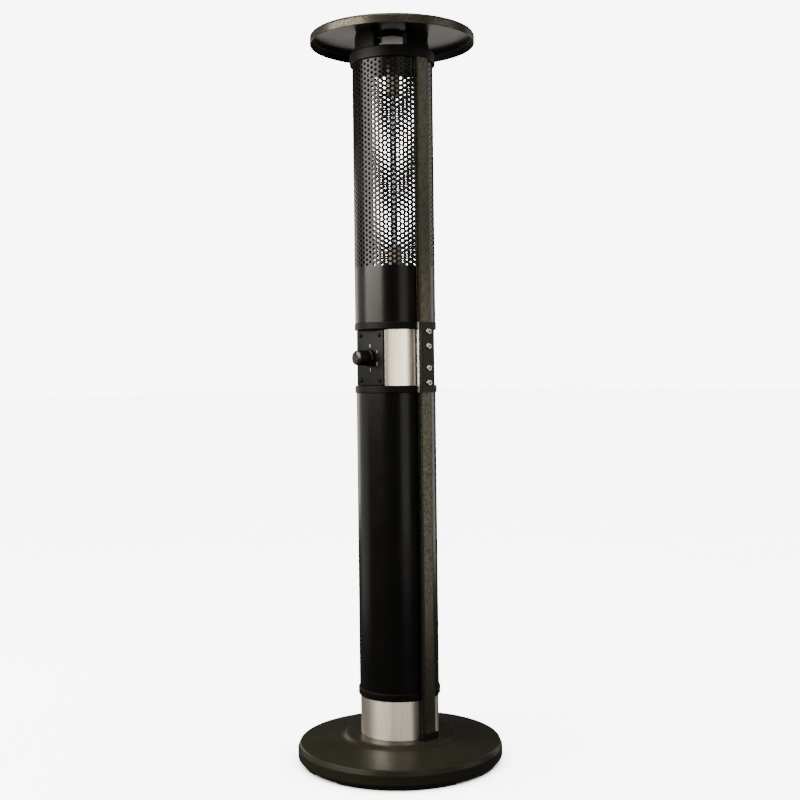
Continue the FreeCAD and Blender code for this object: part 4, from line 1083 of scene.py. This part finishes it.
# azimuth as for the camera, distance and heights in metres
lamps = {
    "keySoftbox": {"azimuth": -16, "distance": 1.8, "height": 1.35, "aim": 1.2, "size": (1.9, 1.2),
                   "power": 64, "spares": ("upper_rail", "lower_rail")},
    "fillSoftbox": {"azimuth": 128, "distance": 1.1, "height": 0.45, "aim": 0.4, "size": (0.55, 0.9),
                    "power": 2.7},
    "rightTop": {"azimuth": 122, "distance": 1.8, "height": 1.55, "aim": 1.2, "size": (1.2, 0.8), "power": 4},
    "frontCard": {"azimuth": 72, "distance": 2.0, "height": 0.8, "aim": 0.7, "size": (0.8, 1.6), "power": 6},
    "leftRim": {"azimuth": -60, "distance": 1.1, "height": 0.6, "aim": 0.5, "size": (0.8, 1.2), "power": 2.3},
    "rightRim": {"azimuth": 178, "distance": 1.8, "height": 0.8, "aim": 0.6, "size": (0.5, 1.6), "power": 5},
    "topSoftbox": {"azimuth": 20, "distance": 0.6, "height": 2.6, "aim": 0.2, "size": (1.8, 1.8),
                   "power": 30},
    "backGlow": {"azimuth": 265, "distance": 2.2, "height": 0.7, "aim": 0.1, "size": (1.0, 1.2), "power": 8},
    "bandCard": {"azimuth": 56, "distance": 2.2, "height": 0.65, "aim": 0.65, "size": (2.3, 0.8), "power": 32,
                 "takers": ("control_band",)},
    "floorBounce": {"azimuth": 22, "distance": 1.4, "height": 0.15, "aim": 0.5, "size": (5.5, 0.6),
                    "power": 24, "takers": ("neck_band",)},
    "backBounce": {"azimuth": 228, "distance": 2.6, "height": 0.45, "aim": 1.18, "size": (3.0, 0.9),
                   "power": 6, "takers": ("hood_pan", "hood_disc")},
}


def linkLamp(holder, pieces, state):
    # the lamp lights only these pieces, or all but these
    group = bpy.data.collections.new(holder.name + "Pieces")
    for piece in pieces:
        group.objects.link(bpy.data.objects[piece])
    for entry in group.collection_objects:
        entry.light_linking.link_state = state
    holder.light_linking.receiver_collection = group


def makeLamps():
    for name, lamp in lamps.items():
        data = bpy.data.lights.new(name, "AREA")
        data.shape = "RECTANGLE"
        data.size, data.size_y = lamp["size"]
        data.energy = lamp["power"]
        data.color = linear("#fff8ee")[:3]
        holder = addObject(name, data)
        holder.visible_camera = False
        around = math.radians(lamp["azimuth"])
        distance = lamp["distance"]
        place = Vector((distance * math.sin(around), -distance * math.cos(around), lamp["height"]))
        way = Vector((0, 0, lamp["aim"])) - place
        holder.matrix_world = Matrix.Translation(place) @ way.to_track_quat("-Z", "Y").to_matrix().to_4x4()
        # what a pale floor and room throw back is wanted on the bright bands and under the hood alone
        if "takers" in lamp:
            linkLamp(holder, lamp["takers"], "INCLUDE")
        # the struts' front sides face a dark room
        if "spares" in lamp:
            linkLamp(holder, lamp["spares"], "EXCLUDE")


studio = {"floorSize": 30.0, "ambient": 0.06, "backdrop": 8.0, "throughQuartz": 0.18, "floorWash": 25.0,
          "washSpread": 100.0}


def makeStudio():
    builder = bmesh.new()
    bmesh.ops.create_grid(builder, x_segments=1, y_segments=1, size=studio["floorSize"])
    mesh = bpy.data.meshes.new("studioFloor")
    builder.to_mesh(mesh)
    builder.free()
    material, tree, shader, place = newMaterial("paleStudioFloor", Roughness=0.9, Specular_IOR_Level=0.1)
    paint(tree, shader, noise(tree, place, 400).outputs["Fac"], "#f6f6f5", "#f8f8f7")
    mesh.materials.append(material)
    floor = addObject("studioFloor", mesh)
    # the floor's own wash is as bright as the backdrop and doesn't bounce back on the heater
    floor.visible_diffuse = False
    floor.visible_glossy = False
    floor.visible_transmission = False
    sun = bpy.data.lights.new("floorWash", "SUN")
    sun.energy = studio["floorWash"]
    sun.angle = math.radians(studio["washSpread"])
    linkLamp(addObject("floorWash", sun), ["studioFloor"], "INCLUDE")

    # a white backdrop behind the heater, dimmer through its quartz, and a dim even room round it
    world = bpy.data.worlds.new("softStudio")
    world.use_nodes = True
    tree = world.node_tree
    path = addNode(tree, "ShaderNodeLightPath").outputs
    seen = addNode(tree, "ShaderNodeMath", {0: path["Is Transmission Ray"], 1: studio["throughQuartz"],
                                            2: path["Is Camera Ray"]}, operation="MULTIPLY_ADD")
    level = addNode(tree, "ShaderNodeMapRange", {"Value": seen.outputs[0], "To Min": studio["ambient"],
                                                 "To Max": studio["backdrop"]})
    sky = tree.nodes["Background"]
    sky.inputs["Color"].default_value = linear("#ffffff")
    tree.links.new(level.outputs[0], sky.inputs["Strength"])
    bpy.context.scene.world = world


makeCamera()
makeLamps()
makeStudio()
print("stage made")
